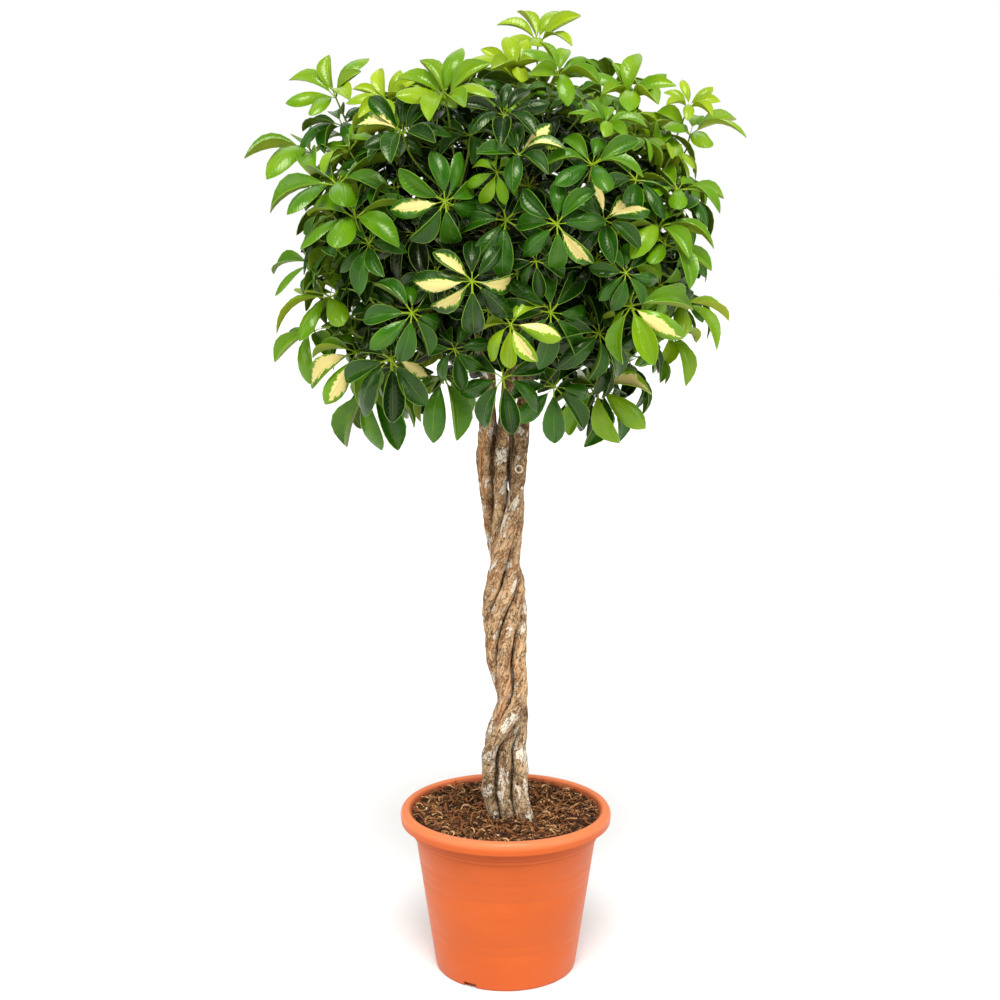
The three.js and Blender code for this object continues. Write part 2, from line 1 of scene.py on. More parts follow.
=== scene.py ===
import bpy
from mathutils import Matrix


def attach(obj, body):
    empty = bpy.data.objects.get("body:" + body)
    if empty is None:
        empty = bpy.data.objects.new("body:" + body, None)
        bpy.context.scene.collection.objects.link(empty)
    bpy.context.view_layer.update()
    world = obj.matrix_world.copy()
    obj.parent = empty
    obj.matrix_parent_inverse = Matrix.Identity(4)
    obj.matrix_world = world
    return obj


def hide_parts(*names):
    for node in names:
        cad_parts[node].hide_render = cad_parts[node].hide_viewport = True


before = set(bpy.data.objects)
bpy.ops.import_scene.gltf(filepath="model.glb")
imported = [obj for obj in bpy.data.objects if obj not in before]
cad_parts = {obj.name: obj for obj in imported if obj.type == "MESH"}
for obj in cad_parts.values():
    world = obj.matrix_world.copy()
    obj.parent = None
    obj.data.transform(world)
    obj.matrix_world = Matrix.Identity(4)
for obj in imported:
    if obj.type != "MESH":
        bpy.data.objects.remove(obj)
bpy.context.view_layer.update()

# A potted umbrella tree: bark, leaves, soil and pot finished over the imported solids. Metres, +Z up.

from math import asin, atan2, cos, hypot, pi, radians, sin, sqrt

import bmesh
import bpy
from mathutils import Matrix, Vector

MM = 0.001
UP = Vector((0, 0, 1))
FULL_TURN = 2 * pi

# The turn from each item to the next that spreads any number of them evenly round a centre
GOLDEN_TURN = pi * (3 - sqrt(5))

# Camera, fitted to the rim and foot of the pot in the photograph
CAMERA_PLACE = Vector((-0.0076, -1.9069, 0.8955))
CAMERA_PITCH = 0.1393
CAMERA_FOCAL = 1487.9
PHOTO_SIZE = 1000
PHOTO_MIDDLE = PHOTO_SIZE / 2
SENSOR = 36

# Studio: the surround's light low down and overhead, the floor's two greys, and the lights, each with its
# direction, its angle across in degrees and its strength
SURROUND_LIGHT = (0.14, 0.52)
SURROUND_HEIGHTS = (0, 0.95)
SURROUND_COLOUR = (1, 0.98, 0.93)
FLOOR_LEVELS = (0.92, 0.94)
LIGHTS = [("key", (0.0, 0.55, -0.84), 32, 3.1), ("left", (0.85, 0.45, -0.35), 36, 0.62),
          ("right", (-0.85, 0.45, -0.35), 36, 0.72), ("back", (0.1, -0.8, -0.9), 46, 0.4)]

# Pot: its grooves by height and depth, and the steps under its rim by height and reach, in millimetres
POT_HEIGHT = 217.5 * MM
RIM_RADIUS = 140 * MM
RIM_BEAD_WIDTH = 15 * MM
RIM_BEAD_HEIGHT = 17 * MM
RIM_BEAD_RISE = 9.6 * MM
BASE_RADIUS = 93.5 * MM
WALL_TOP_RADIUS = 123 * MM
POT_WALL = 2.6 * MM
POT_FLOOR = 3 * MM
POT_SIDES = 144
POT_GROOVES = [(51, 0.14), (63, 0.12), (127, 0.2), (139, 0.12), (151, 0.18)]
POT_STEPS = [(176, 0), (180.4, 0), (181.0, 2.3), (186.6, 2.3), (187.2, 4.8), (194, 4.6)]
# Heights of the dark lines painted as the shadow under each of the two moulded steps
POT_STEP_SHADOWS = (0.1808, 0.1871)
SLOT_COUNT = 3
SLOT_SIZE = Vector((14, 19, 13)) * MM
FIRST_SLOT = 240

# Soil, with a hollow beside the trunk whose place, reach and depth are in millimetres
SOIL_TOP = 201 * MM
SOIL_DISH = 10 * MM
SOIL_RADIUS = 121 * MM
SOIL_FOOT = 4 * MM
SOIL_SIDES = 96
SOIL_RINGS = 27
SOIL_RING_WIDTH = 4.1 * MM
HOLLOW_PLACE = (-41, 50)
HOLLOW_REACH = (25, 32)
HOLLOW_DEPTH = 15

# Shredded bark: its clumps, its strands with their lengths in millimetres and each pattern's curl and
# flatness, the white grains with their sizes in millimetres, and how far out all this may lie
CLUMP_COUNT = 400
CLUMP_KINDS = 9
CLUMP_STRANDS = 12
CLUMP_SPREAD = 10
STRAND_LENGTHS = (8, 30)
STRAND_STEPS = 5
STRAND_WIDTH = 0.044
STRAND_SHAPES = [(0.2, 0.8), (0.4, 0.7), (0.6, 0.9), (-0.3, 0.7), (0.1, 0.6), (-0.5, 0.8), (0.05, 1.3),
                 (0.3, 0.5)]
PERLITE_COUNT = 7
PERLITE_SIZES = (2.2, 4)
MULCH_REACH = 123.5 * MM

# Trunk, in millimetres: its heights, the seats and radii of the five stems in the bundle, and how the bundle
# turns, spreads and leans by height
STEM_FOOT = 110
BUNDLE_FOOT = 206
STEM_RINGS_FROM = 180
STEM_RING_GAP = 5
TRUNK_TOP = 742
STEM_SEATS = [(-19.8, -8.8, 9.3), (0.2, -9.8, 9.0), (20.2, -8.6, 9.9), (10.4, 9.4, 9.6), (-9.6, 9.6, 9.2)]
QUARTER_TURNS = [(202, -0.3), (272, 0), (364, 1), (476, 2), (549, 3), (690, 4), (742, 4.3)]
BUNDLE_SPREAD = [(202, 1.12), (269, 1.06), (364, 1.02), (560, 1), (690, 1.16), (742, 1.24)]
CENTRE_LINE = [(202, 11), (235, 1), (269, -1), (302, -5.5), (367, 8), (416, -2), (448, -3.5), (480, -0.5),
               (512, 3), (549, -1.5), (623, -0.5), (690, -6)]

# The bark's grain turns with the stems, by this many radians over this span of height, and stems that are
# less than this many millimetres apart darken each other with painted shade
TWIST = -2 * pi
TWIST_SPAN = (0.272, 0.69)
CREVICE_SHADE_GAP = 5.5

# What the photograph shows on the trunk, by column and row: a dried shoot, a thread and ring scars. The
# radii, and the thickness of each scar, are in millimetres.
DRIED_SHOOT = [(489, 408), (486, 425), (483, 442), (480, 458), (480, 473), (482, 485), (484, 494)]
DRIED_SHOOT_RADII = (1.2, 1.5, 1.7, 1.7, 1.8, 1.4, 0.8)
THREAD = [(511, 436), (511, 450), (510.5, 465), (510, 480), (509.5, 492), (509, 504)]
THREAD_RADIUS = 0.55
SCARS = [(519, 469, 4.4, 1.1), (522, 488, 1.2, 1.0), (505, 460, 1.6, 1.0)]

# The bare strip in front: a point of its middle line in x and height, its slope, and where it ends
BARE_PLACE = (0, 0.371)
BARE_SLOPE = (0.29, 0.957)
BARE_ENDS = ((0.325, 0.331), (0.421, 0.411))

# Head: the shell on which the hubs of the outer leaves lie, and the twigs and shoots inside it
HEAD_CENTRE = Vector((-2, 0, 958)) * MM
SHELL = Vector((226, 218, 192)) * MM
SHELL_POWER = 2.7
FIRST_SECTOR = 226
SECTOR = 360 / len(STEM_SEATS)
LEADER_PATH = [(30, 790), (39, 850), (43, 930), (42, 990), (36, 1036)]
LEADER_RADII = [7.6, 6.8, 5.8, 4.8, 3.8]
SHOOT_TURNS = [(-17, -42), (17, -17), (-19, 3), (18, 24), (-14, 46), (12, 72)]
SHOOT_START = 0.47
SHOOT_END = 0.72
SHOOT_RADIUS = 2.9 * MM
TWIG_RADIUS = 3.4 * MM
TWIG_SLOPE = 0.9

# Leaves: what tells a hub and its leaflets' tips in the solids, and the stalks. Then the leaflets, modelled
# one metre long: half their width by place along them, and each pattern's width, fold, bow and drop.
HUB_EDGES = 20
LEAST_TIPS = 4
TIP_SHARE = 0.6
STALK_ROOTS = (0.8, 0.6, 0.4, 0.95)
STALK_RADIUS = 1.15 * MM
STALK_BOW = 0.45
STALK_STEPS = 7
LEAFLET_ROWS = [(0, 0.007), (0.16, 0.007), (0.23, 0.042), (0.34, 0.098), (0.48, 0.15), (0.62, 0.178),
                (0.76, 0.174), (0.87, 0.134), (0.945, 0.075), (1.0, 0.009)]
LEAFLET_SHAPES = [(1.0, -0.1, 0.1, 0.12), (1.06, 0.08, 0.13, 0.24), (0.94, 0.15, 0.08, 0.08),
                  (1.03, -0.07, 0.15, 0.3), (0.98, 0.18, 0.09, 0.15), (1.05, 0.11, 0.13, 0.2)]
LEAFLET_STALK_ROWS = 2
BLADE = 0.011
CREAM_ABOVE = 0.9

# Leaves inside the head: shells by size, number of places and least distance apart in millimetres, how far
# to the front and down the leaves go, and the lengths in millimetres and the number of their leaflets
FILLER_SHELLS = [(0.96, 190, 42), (0.87, 150, 44), (0.72, 100, 46), (0.5, 44, 50)]
FILLER_FRONT = -0.55
FILLER_FOOT = -0.84
FILLER_LENGTHS = (48, 66)
FILLER_LEAFLETS = 7

# Leaves that stand out in the photograph: column and row of the hub, tone from dark 0 to light 1, and then
# the directions of the cream leaflets, if it has any, in degrees from the right, anticlockwise. Each tone is
# partly the leaf's own green and partly painted light and shade: lighter where the leaf is lit through,
# darker where it lies in shade. A hub is one of them when it is this near in the photograph, and no further
# back than this.
NOTED_LEAVES = [
    (472, 281, 0.14, 152, 190, 237, 3), (557, 224, 0.32, 300, 328), (511, 324, 0.8, 334, 310),
    (445, 201, 0.33, 176), (604, 220, 0.16, 98, 60, 8), (597, 387, 0.74, 8), (519, 155, 0.2, 43, 27),
    (403, 134, 0.15, 160), (631, 306, 0.66, 325), (357, 352, 0.56, 200, 235), (391, 359, 0.14, 345),
    (497, 172, 0.66), (504, 116, 0.05), (503, 378, 0.16), (412, 313, 0.3), (446, 100, 0.74), (432, 96, 0.76),
    (538, 44, 0.88), (514, 79, 0.92), (336, 98, 0.74), (628, 102, 0.68), (388, 104, 0.9), (688, 108, 0.92),
    (690, 135, 0.7), (312, 154, 0.62), (342, 125, 0.3), (594, 165, 0.4), (557, 76, 0.65), (536, 261, 0.14),
    (337, 185, 0.46), (355, 218, 0.5), (314, 264, 0.56), (330, 297, 0.65), (678, 190, 0.62), (659, 226, 0.6),
    (666, 245, 0.58), (682, 302, 0.72), (554, 386, 0.3), (370, 386, 0.4), (443, 376, 0.42), (314, 331, 0.6),
    (669, 334, 0.7), (605, 127, 0.64), (369, 244, 0.25), (626, 273, 0.25), (660, 285, 0.62),
    (454, 349, 0.25),
]
NOTED_REACH = 6
NOTED_BACK = 30 * MM

# Tones run from this low, deep inside the head, to 1: the low end is painted shade, which takes the leaves
# deep inside the head towards black. The greens, as they look on screen, are set at the two ends and at the
# stops. Then how far the green wanders, and the number and the slant of the side veins.
TONE_RANGE = (-0.25, 1)
TONE_STOPS = (0.24, 0.48, 0.72)
TOP_GREENS = ((3, 11, 1), (7, 40, 2), (42, 98, 3), (102, 148, 7), (162, 186, 22))
UNDERSIDE_GREENS = ((8, 15, 2), (36, 58, 6), (86, 112, 12), (136, 156, 24), (180, 192, 44))
MOTTLE = 0.36
VEIN_COUNT = 14
VEIN_SLANT = 0.13


def between(low, high, t):
    """The value a share t of the way from low to high."""
    return low + (high - low) * t


def share(i, k, low=0, high=1):
    """A value for item i of list k, spread evenly over a range, and the same at every run."""
    return between(low, high, (i * 0.6180339887 + k * 0.7548776662) % 1)


def scatter(i, k, low=0, high=1):
    """A value for item i of list k, with no order to it, and the same at every run."""
    return between(low, high, sin(i * 12.9898 + k * 78.233) * 43758.5453 % 1)


def around(reach, turn):
    """The x and y of a place by its distance from the middle and its turn."""
    return reach * cos(turn), reach * sin(turn)


def through(marks, place):
    """The value at a place on a smooth curve through (place, value) marks."""
    last = len(marks) - 1
    if place <= marks[0][0]:
        return marks[0][1]
    if place >= marks[last][0]:
        return marks[last][1]
    i = next(n for n in range(1, last + 1) if marks[n][0] >= place) - 1

    def slope(n):
        before, after = marks[max(n - 1, 0)], marks[min(n + 1, last)]
        return (after[1] - before[1]) / (after[0] - before[0])

    width = marks[i + 1][0] - marks[i][0]
    t = (place - marks[i][0]) / width
    rise = between(marks[i][1], marks[i + 1][1], t * t * (3 - 2 * t))
    return rise + width * (t * (1 - t) ** 2 * slope(i) - t * t * (1 - t) * slope(i + 1))


def only(*pieces):
    """Selects just these objects, with the first one active."""
    bpy.ops.object.select_all(action="DESELECT")
    for piece in pieces:
        piece.select_set(True)
    bpy.context.view_layer.objects.active = pieces[0]


def edit(piece, kind="VERT", chosen="SELECT"):
    """Opens a piece in edit mode with all of it selected, or nothing."""
    only(piece)
    bpy.ops.object.mode_set(mode="EDIT")
    bpy.ops.mesh.select_mode(type=kind)
    bpy.ops.mesh.select_all(action=chosen)


def leave_edit():
    bpy.ops.object.mode_set(mode="OBJECT")


def pick(piece, test, kind="verts"):
    """Selects, in edit mode, just the vertices or faces that pass the test."""
    bpy.ops.mesh.select_all(action="DESELECT")
    mesh = bmesh.from_edit_mesh(piece.data)
    for item in getattr(mesh, kind):
        if test(item):
            item.select_set(True)
    mesh.select_flush(True)
    bmesh.update_edit_mesh(piece.data)


def settle(piece):
    """Applies a piece's modifiers and puts its place into its mesh."""
    only(piece)
    for modifier in list(piece.modifiers):
        bpy.ops.object.modifier_apply(modifier=modifier.name)
    bpy.ops.object.transform_apply(location=True, rotation=True, scale=True)


def smooth(piece, degrees):
    """Shades a piece smooth, with its edges sharper than this left sharp."""
    only(piece)
    bpy.ops.object.shade_smooth_by_angle(angle=radians(degrees))


def join(pieces, name):
    """Joins objects into one, under this name."""
    only(*pieces)
    if len(pieces) > 1:
        bpy.ops.object.join()
    joined = bpy.context.view_layer.objects.active
    joined.name = name
    joined.data.name = name
    return joined


def displace(piece, name, size, strength, group=""):
    """Raises and sinks a piece's surface by a cloud pattern, and applies it."""
    pattern = bpy.data.textures.new(name, "CLOUDS")
    pattern.noise_scale = size
    pattern.noise_depth = 2
    modifier = piece.modifiers.new(name, "DISPLACE")
    modifier.texture = pattern
    modifier.texture_coords = "LOCAL"
    modifier.strength = strength
    modifier.mid_level = 0.5
    modifier.vertex_group = group
    only(piece)
    bpy.ops.object.modifier_apply(modifier=modifier.name)


class Value:
    """A number worked out at each point of a surface, so that a finish's sums can be written as sums."""

    def __init__(self, finish, output):
        self.finish = finish
        self.output = output

    def __add__(self, other):
        return self.finish.math("ADD", self, other)

    def __sub__(self, other):
        return self.finish.math("SUBTRACT", self, other)

    def __mul__(self, other):
        return self.finish.math("MULTIPLY", self, other)

    def __abs__(self):
        return self.finish.math("ABSOLUTE", self)

    def ramp(self, low, high, start=0.0, end=1.0):
        """The value taken smoothly from one range to another."""
        inputs = [("Value", self), ("From Min", low), ("From Max", high), ("To Min", start), ("To Max", end)]
        return self.finish.value("MapRange", inputs, "Result", interpolation_type="SMOOTHSTEP")

    def spread(self, low, high):
        """The value taken evenly from a range to 0 to 1."""
        inputs = [("Value", self), ("From Min", low), ("From Max", high)]
        return self.finish.value("MapRange", inputs, "Result")


def add_node(tree, kind, inputs, **settings):
    """Adds a node to a tree. Its inputs are (socket, value or output to link) pairs."""
    node = tree.nodes.new("ShaderNode" + kind)
    for setting, value in settings.items():
        setattr(node, setting, value)
    for socket, value in inputs:
        if isinstance(value, Value):
            value = value.output
        if isinstance(value, bpy.types.NodeSocket):
            tree.links.new(value, node.inputs[socket])
        else:
            node.inputs[socket].default_value = value
    return node


class Finish:
    """A material under construction, with a Principled shader."""

    def __init__(self, name, **constants):
        self.material = bpy.data.materials.new(name)
        self.material.use_nodes = True
        self.tree = self.material.node_tree
        self.shader = self.tree.nodes["Principled BSDF"]
        for socket, value in constants.items():
            self.shader.inputs[socket.replace("_", " ")].default_value = value

    def add(self, kind, inputs=(), **settings):
        return add_node(self.tree, kind, inputs, **settings)

    def value(self, kind, inputs, output=0, **settings):
        return Value(self, self.add(kind, inputs, **settings).outputs[output])

    def math(self, operation, *values):
        return self.value("Math", list(enumerate(values)), operation=operation)

    def mix(self, share_of_second, first, second):
        """A mix of two colours, each an output or red, green and blue as they look on screen."""
        first, second = (colour(*shade) if isinstance(shade, tuple) else shade for shade in (first, second))
        inputs = [(0, share_of_second), (6, first), (7, second)]
        return self.add("Mix", inputs, data_type="RGBA").outputs[2]

    def paint(self, face, *coats):
        """A colour under coats of paint, each a share and a colour."""
        for share_of_coat, shade in coats:
            face = self.mix(share_of_coat, face, shade)
        return face

    def place(self, stretch=(1, 1, 1)):
        """Object coordinates, stretched."""
        coordinates = self.add("TexCoord").outputs["Object"]
        return self.add("Mapping", [("Vector", coordinates), ("Scale", stretch)]).outputs[0]

    def split(self, vector):
        """The three parts of a vector."""
        parts = self.add("SeparateXYZ", [("Vector", vector)]).outputs
        return [Value(self, part) for part in parts]

    def noise_over(self, vector, scale, detail=2.0, roughness=0.5):
        inputs = [("Vector", vector), ("Scale", scale), ("Detail", detail), ("Roughness", roughness)]
        return self.value("TexNoise", inputs, "Fac")

    def noise(self, scale, detail=2.0, roughness=0.5, stretch=(1, 1, 1)):
        return self.noise_over(self.place(stretch), scale, detail, roughness)

    def read(self, attribute):
        return self.value("Attribute", [], "Fac", attribute_name=attribute)

    def done(self, face, roughness, relief, distance, strength):
        """Wires the colour, the roughness and the relief to the shader, and gives the material."""
        inputs = [("Height", relief), ("Distance", distance), ("Strength", strength)]
        bump = self.value("Bump", inputs)
        wires = {"Base Color": face, "Roughness": roughness.output, "Normal": bump.output}
        for socket, output in wires.items():
            self.tree.links.new(output, self.shader.inputs[socket])
        return self.material


def colour(red, green, blue):
    """A colour given as it looks on screen, from 0 to 255, in the renderer's own linear values."""
    def linear(value):
        value /= 255
        return value / 12.92 if value <= 0.04045 else ((value + 0.055) / 1.055) ** 2.4
    return [linear(red), linear(green), linear(blue), 1]


def leaf_green(finish, shades):
    """Green from nearly black, through deep green, to light and yellow, by the leaf's tone and a mottle. The
    nearly black end is painted shade for the leaves deep inside the head.
    """
    mottle = finish.noise(28)
    level = finish.read("tone") + (mottle - 0.5) * MOTTLE
    ramp = finish.add("ValToRGB", [("Fac", level.spread(*TONE_RANGE))])
    ramp.color_ramp.elements[0].color = colour(*shades[0])
    ramp.color_ramp.elements[1].color = colour(*shades[-1])
    for place, shade in zip(TONE_STOPS, shades[1:-1]):
        ramp.color_ramp.elements.new(place).color = colour(*shade)
    return ramp.outputs["Color"]


def leaflet_marks(finish):
    """Where on its leaflet a point is: along it, to which side and how far out, and its veins."""
    along, across, _ = finish.split(finish.add("UVMap").outputs[0])
    side = (across - 0.5) * 2
    out = abs(side)
    slant = along - out * VEIN_SLANT
    phase = finish.math("FRACT", slant * VEIN_COUNT)
    return {"along": along, "side": side, "out": out, "slant": slant, "midrib": out.ramp(0.015, 0.07, 1, 0),
            "vein": abs(phase - 0.5).ramp(0.0, 0.16, 1, 0), "foot": along.ramp(0.13, 0.17, 1, 0)}


def cream_patch(finish, marks):
    """The cream of a variegated leaflet: from its foot to near its tip, off to one side, with fingers that
    follow the side veins. Also the band of light green around it."""
    lean = finish.read("lean")
    fingers = finish.add("CombineXYZ", [("X", marks["slant"] * 15), ("Y", marks["side"] * 1.6),
                                        ("Z", lean * 40)]).outputs[0]
    jag = (finish.noise_over(fingers, 1, 3, 0.6) - 0.5) * 1.15
    away = abs(marks["side"] - lean * 0.55)
    width = marks["along"].ramp(0.5, 1.0, 0.62, 0.0) * marks["along"].ramp(0.1, 0.36, 0.45, 1)
    inside = width - away - jag
    there = finish.read("cream")
    return inside.ramp(0, 0.05) * there, inside.ramp(-0.25, 0.0, 0, 0.7) * there


def leaf_top():
    """Glossy upper side, with a fine midrib, faint side veins and the cream of a variegated leaflet."""
    finish = Finish("leaf_upper_side", Specular_IOR_Level=0.44, Specular_Tint=(0.9, 1, 0.66, 1))
    marks = leaflet_marks(finish)
    cream, halo = cream_patch(finish, marks)
    face = finish.paint(leaf_green(finish, TOP_GREENS),
                        (marks["vein"] * 0.05, (120, 165, 60)),
                        # A pale margin: partly the leaflet's own paler edge and partly a painted highlight
                        # along the edge
                        (marks["out"].ramp(0.94, 1.0, 0, 0.55), (140, 175, 62)),
                        (halo, (118, 170, 30)),
                        (cream, (242, 222, 142)),
                        (marks["midrib"] * 0.24, (150, 184, 60)),
                        (marks["foot"], (150, 180, 30)))
    relief = finish.noise(90) * 0.9 - (marks["midrib"] + marks["vein"] * 0.18)
    return finish.done(face, finish.noise(900).ramp(0.2, 0.8, 0.17, 0.27), relief, 0.8 * MM, 0.6)


def leaf_underside():
    """Matt, paler underside with a raised midrib."""
    finish = Finish("leaf_underside", Specular_IOR_Level=0.2)
    marks = leaflet_marks(finish)
    pale = finish.read("cream") * marks["out"].ramp(0.3, 0.7, 0.6, 0)
    face = finish.paint(leaf_green(finish, UNDERSIDE_GREENS),
                        (pale, (225, 218, 150)),
                        (marks["midrib"] * 0.6, (170, 190, 84)),
                        (marks["foot"], (150, 180, 40)))
    grain = finish.noise(700)
    relief = marks["midrib"] + (marks["vein"] * 0.4 + grain * 0.3)
    return finish.done(face, grain.ramp(0.2, 0.8, 0.5, 0.66), relief, 0.4 * MM, 0.5)


def stalk_skin():
    """Yellow-green stalks, with darker stretches."""
    finish = Finish("leaf_stalk", Specular_IOR_Level=0.45)
    face = finish.mix(finish.noise(60, 3).ramp(0.35, 0.7), (112, 140, 28), (150, 172, 44))
    grain = finish.noise(1200, stretch=(1, 1, 0.2))
    return finish.done(face, grain.ramp(0.2, 0.8, 0.38, 0.55), grain, 0.2 * MM, 0.5)


def bare_strip(x, y, height, streaks):
    """How much of the outer bark is gone: all of it in one ragged strip in front, and none elsewhere."""
    off = (x - BARE_PLACE[0]) * BARE_SLOPE[1] + (height - BARE_PLACE[1]) * -BARE_SLOPE[0]
    bare = (abs(off) + (streaks - 0.5) * 0.007).ramp(0.0036, 0.0046, 1, 0) * y.ramp(-0.012, -0.008, 1, 0)
    for low, high in BARE_ENDS:
        bare = bare * height.ramp(low, high)
    return bare


def bark_skin():
    """Tan bark with crisp cream patches, fine speckles, dark cracks and streaks, a brown top, a grey mottled
    foot, painted shade in the crevices between the stems, and one bare strip in front."""
    finish = Finish("bark", Specular_IOR_Level=0.2)
    x, y, height = finish.split(finish.place())
    turn = height.spread(*TWIST_SPAN) * TWIST
    straight = finish.add("VectorRotate", [("Vector", finish.place()), ("Angle", turn)],
                          rotation_type="Z_AXIS").outputs[0]

    def along_stems(stretch, scale, detail, roughness=0.5):
        vector = finish.add("Mapping", [("Vector", straight), ("Scale", (1, 1, stretch))]).outputs[0]
        return finish.noise_over(vector, scale, detail, roughness)

    slow = along_stems(0.7, 60, 3)
    streaks = along_stems(0.2, 260, 4, 0.65)
    bands = finish.noise(75, 3, 0.6, (1, 1, 4.5))
    fine = finish.noise(420, 3, 0.65, (1, 1, 0.8))
    crack = abs(along_stems(0.45, 150, 3) - 0.5).ramp(0.004, 0.03, 1, 0)
    low = height.ramp(0.27, 0.42, 1, 0)
    tops = height.ramp(0.6, 0.8, 1, 0.85)
    mottle = (along_stems(0.6, 150, 4, 0.6) + low * 0.035).ramp(0.53, 0.57)
    cream = (along_stems(0.6, 66, 4, 0.62) + low * 0.02).ramp(0.575, 0.592)
    middle = finish.mix(slow.ramp(0.38, 0.62), (170, 122, 80), (224, 182, 134))
    foot = finish.mix(slow.ramp(0.4, 0.6), (124, 95, 64), (190, 160, 122))
    brown = finish.mix(slow.ramp(0.38, 0.66), (112, 79, 46), (196, 154, 106))
    bare_wood = finish.mix(streaks.ramp(0.35, 0.6), (150, 94, 52), (232, 186, 140))
    face = finish.paint(middle,
                        (height.ramp(0.28, 0.4, 0.9, 0), foot),
                        (height.ramp(0.56, 0.7, 0, 0.95), brown),
                        (streaks.ramp(0.34, 0.48, 0.7, 0), (84, 55, 30)),
                        (bands.ramp(0.3, 0.44, 0.45, 0), (104, 72, 44)),
                        (mottle * tops * 0.6, (206, 177, 138)),
                        (cream * tops * 0.92, (242, 230, 210)),
                        (fine.ramp(0.53, 0.62, 0, 0.42), (230, 208, 176)),
                        (fine.ramp(0.37, 0.46, 0.45, 0), (84, 58, 34)),
                        (crack * 0.6, (76, 50, 28)),
                        (bare_strip(x, y, height, streaks) * 0.85, bare_wood),
                        # Painted shade in the crevices between the stems, darkest where they touch
                        (finish.read("crevice").ramp(0, 1, 0.9, 0), (34, 21, 12)))
    relief = fine * 0.6 + bands * 0.8 + streaks * 0.8 + cream * 0.4 - crack
    return finish.done(face, fine.ramp(0.2, 0.8, 0.7, 0.95), relief, 2.6 * MM, 0.9)


def plain_skin(name, deep, light, scale):
    """A dull skin that wanders between two colours."""
    finish = Finish(name, Specular_IOR_Level=0.25)
    grain = finish.noise(scale, 3, stretch=(1, 1, 0.3))
    face = finish.mix(grain.ramp(0.35, 0.65), deep, light)
    return finish.done(face, grain.ramp(0.2, 0.8, 0.6, 0.85), grain, 0.3 * MM, 0.6)


def pot_plastic():
    """Satin orange plastic with a faint moulding grain, paler where it was rubbed, with a painted highlight
    on the rim's crest, and painted shade inside, under the rim and in a line under each of the two moulded
    steps there."""
    finish = Finish("orange_pot_plastic", Specular_IOR_Level=0.26, Sheen_Weight=0.1, Sheen_Roughness=0.5,
                    Sheen_Tint=(1, 0.6, 0.35, 1))
    height = finish.split(finish.place())[2]
    out = finish.value("VectorMath", [("Vector", finish.place((1, 1, 0)))], "Value", operation="LENGTH")
    scuffs = finish.noise(42, 4, 0.6, (1, 1, 14))
    orange = finish.mix(finish.noise(9, 3, stretch=(1, 1, 2)).ramp(0.3, 0.7), (199, 88, 28), (205, 93, 32))
    # Painted shade in the band under the rim's bead
    painted_shade_under_rim = height.ramp(0.185, 0.193, 0, 0.3) * height.ramp(0.2, 0.2025, 1, 0)
    # Painted shade on the pot's inner wall above the soil, fading out over the inner lip of the rim
    inside = out.ramp(0.125, 0.1295, 0.75, 0) * height.ramp(0.203, 0.206)
    face = finish.paint(orange,
                        (scuffs.ramp(0.62, 0.78, 0, 0.25), (226, 122, 74)),
                        # Painted highlight: the top of the rim's crest made paler
                        (height.ramp(0.205, 0.213, 0, 0.5), (240, 148, 100)),
                        (painted_shade_under_rim, (150, 58, 18)),
                        (inside, (146, 52, 11)))
    # Painted shadow: a thin dark line under each of the two moulded steps
    for step_shadow in POT_STEP_SHADOWS:
        face = finish.paint(face, (abs(height - step_shadow).ramp(0.0005, 0.0013, 0.5, 0), (140, 52, 16)))
    return finish.done(face, scuffs.ramp(0.3, 0.75, 0.38, 0.5), finish.noise(1500), 0.12 * MM, 0.35)


def soil_crumb():
    """Dark damp potting mix, its near-black base also painted shade for the gaps between the bark strands
    over it.
    """
    finish = Finish("soil_crumb", Specular_IOR_Level=0.15)
    fine = finish.noise(420, 4, 0.65)
    # The near-black base is partly the dark soil and partly painted shade for the gaps between the strands
    face = finish.paint((16, 9, 5),
                        (fine.ramp(0.35, 0.65), (66, 40, 22)),
                        (finish.noise(60).ramp(0.4, 0.7, 0, 0.4), (88, 56, 32)))
    return finish.done(face, fine.ramp(0.2, 0.8, 0.8, 1.0), fine, 2 * MM, 1.0)


def mulch_fibre():
    """Shredded bark in browns that differ from strand to strand, and white grains of perlite past tone 1."""
    finish = Finish("shredded_bark", Specular_IOR_Level=0.25)
    tone = finish.read("tone")
    grain = finish.noise(800, 3, 0.6)
    face = finish.paint((60, 34, 17),
                        (tone.ramp(0.0, 0.5), (166, 108, 61)),
                        (tone.ramp(0.45, 0.95), (236, 186, 130)),
                        (grain.ramp(0.4, 0.6, 0.35, 0), (56, 32, 16)),
                        (tone.ramp(1.4, 1.6), (232, 218, 196)))
    return finish.done(face, grain.ramp(0.2, 0.8, 0.68, 0.9), grain, 0.6 * MM, 0.8)


def floor_paint():
    """Pale seamless studio floor."""
    finish = Finish("studio_floor", Roughness=0.9, Specular_IOR_Level=0.1)
    shades = [[level, level, level, 1] for level in FLOOR_LEVELS]
    face = finish.mix(finish.noise(3), *shades)
    finish.tree.links.new(face, finish.shader.inputs["Base Color"])
    return finish.material


def in_photo(point):
    """The photograph's column and row of a point."""
    offset = point - CAMERA_PLACE
    ahead = offset.y * cos(CAMERA_PITCH) - offset.z * sin(CAMERA_PITCH)
    rise = offset.y * sin(CAMERA_PITCH) + offset.z * cos(CAMERA_PITCH)
    across, up = CAMERA_FOCAL * offset.x / ahead, CAMERA_FOCAL * rise / ahead
    return Vector((PHOTO_MIDDLE + across, PHOTO_MIDDLE - up))


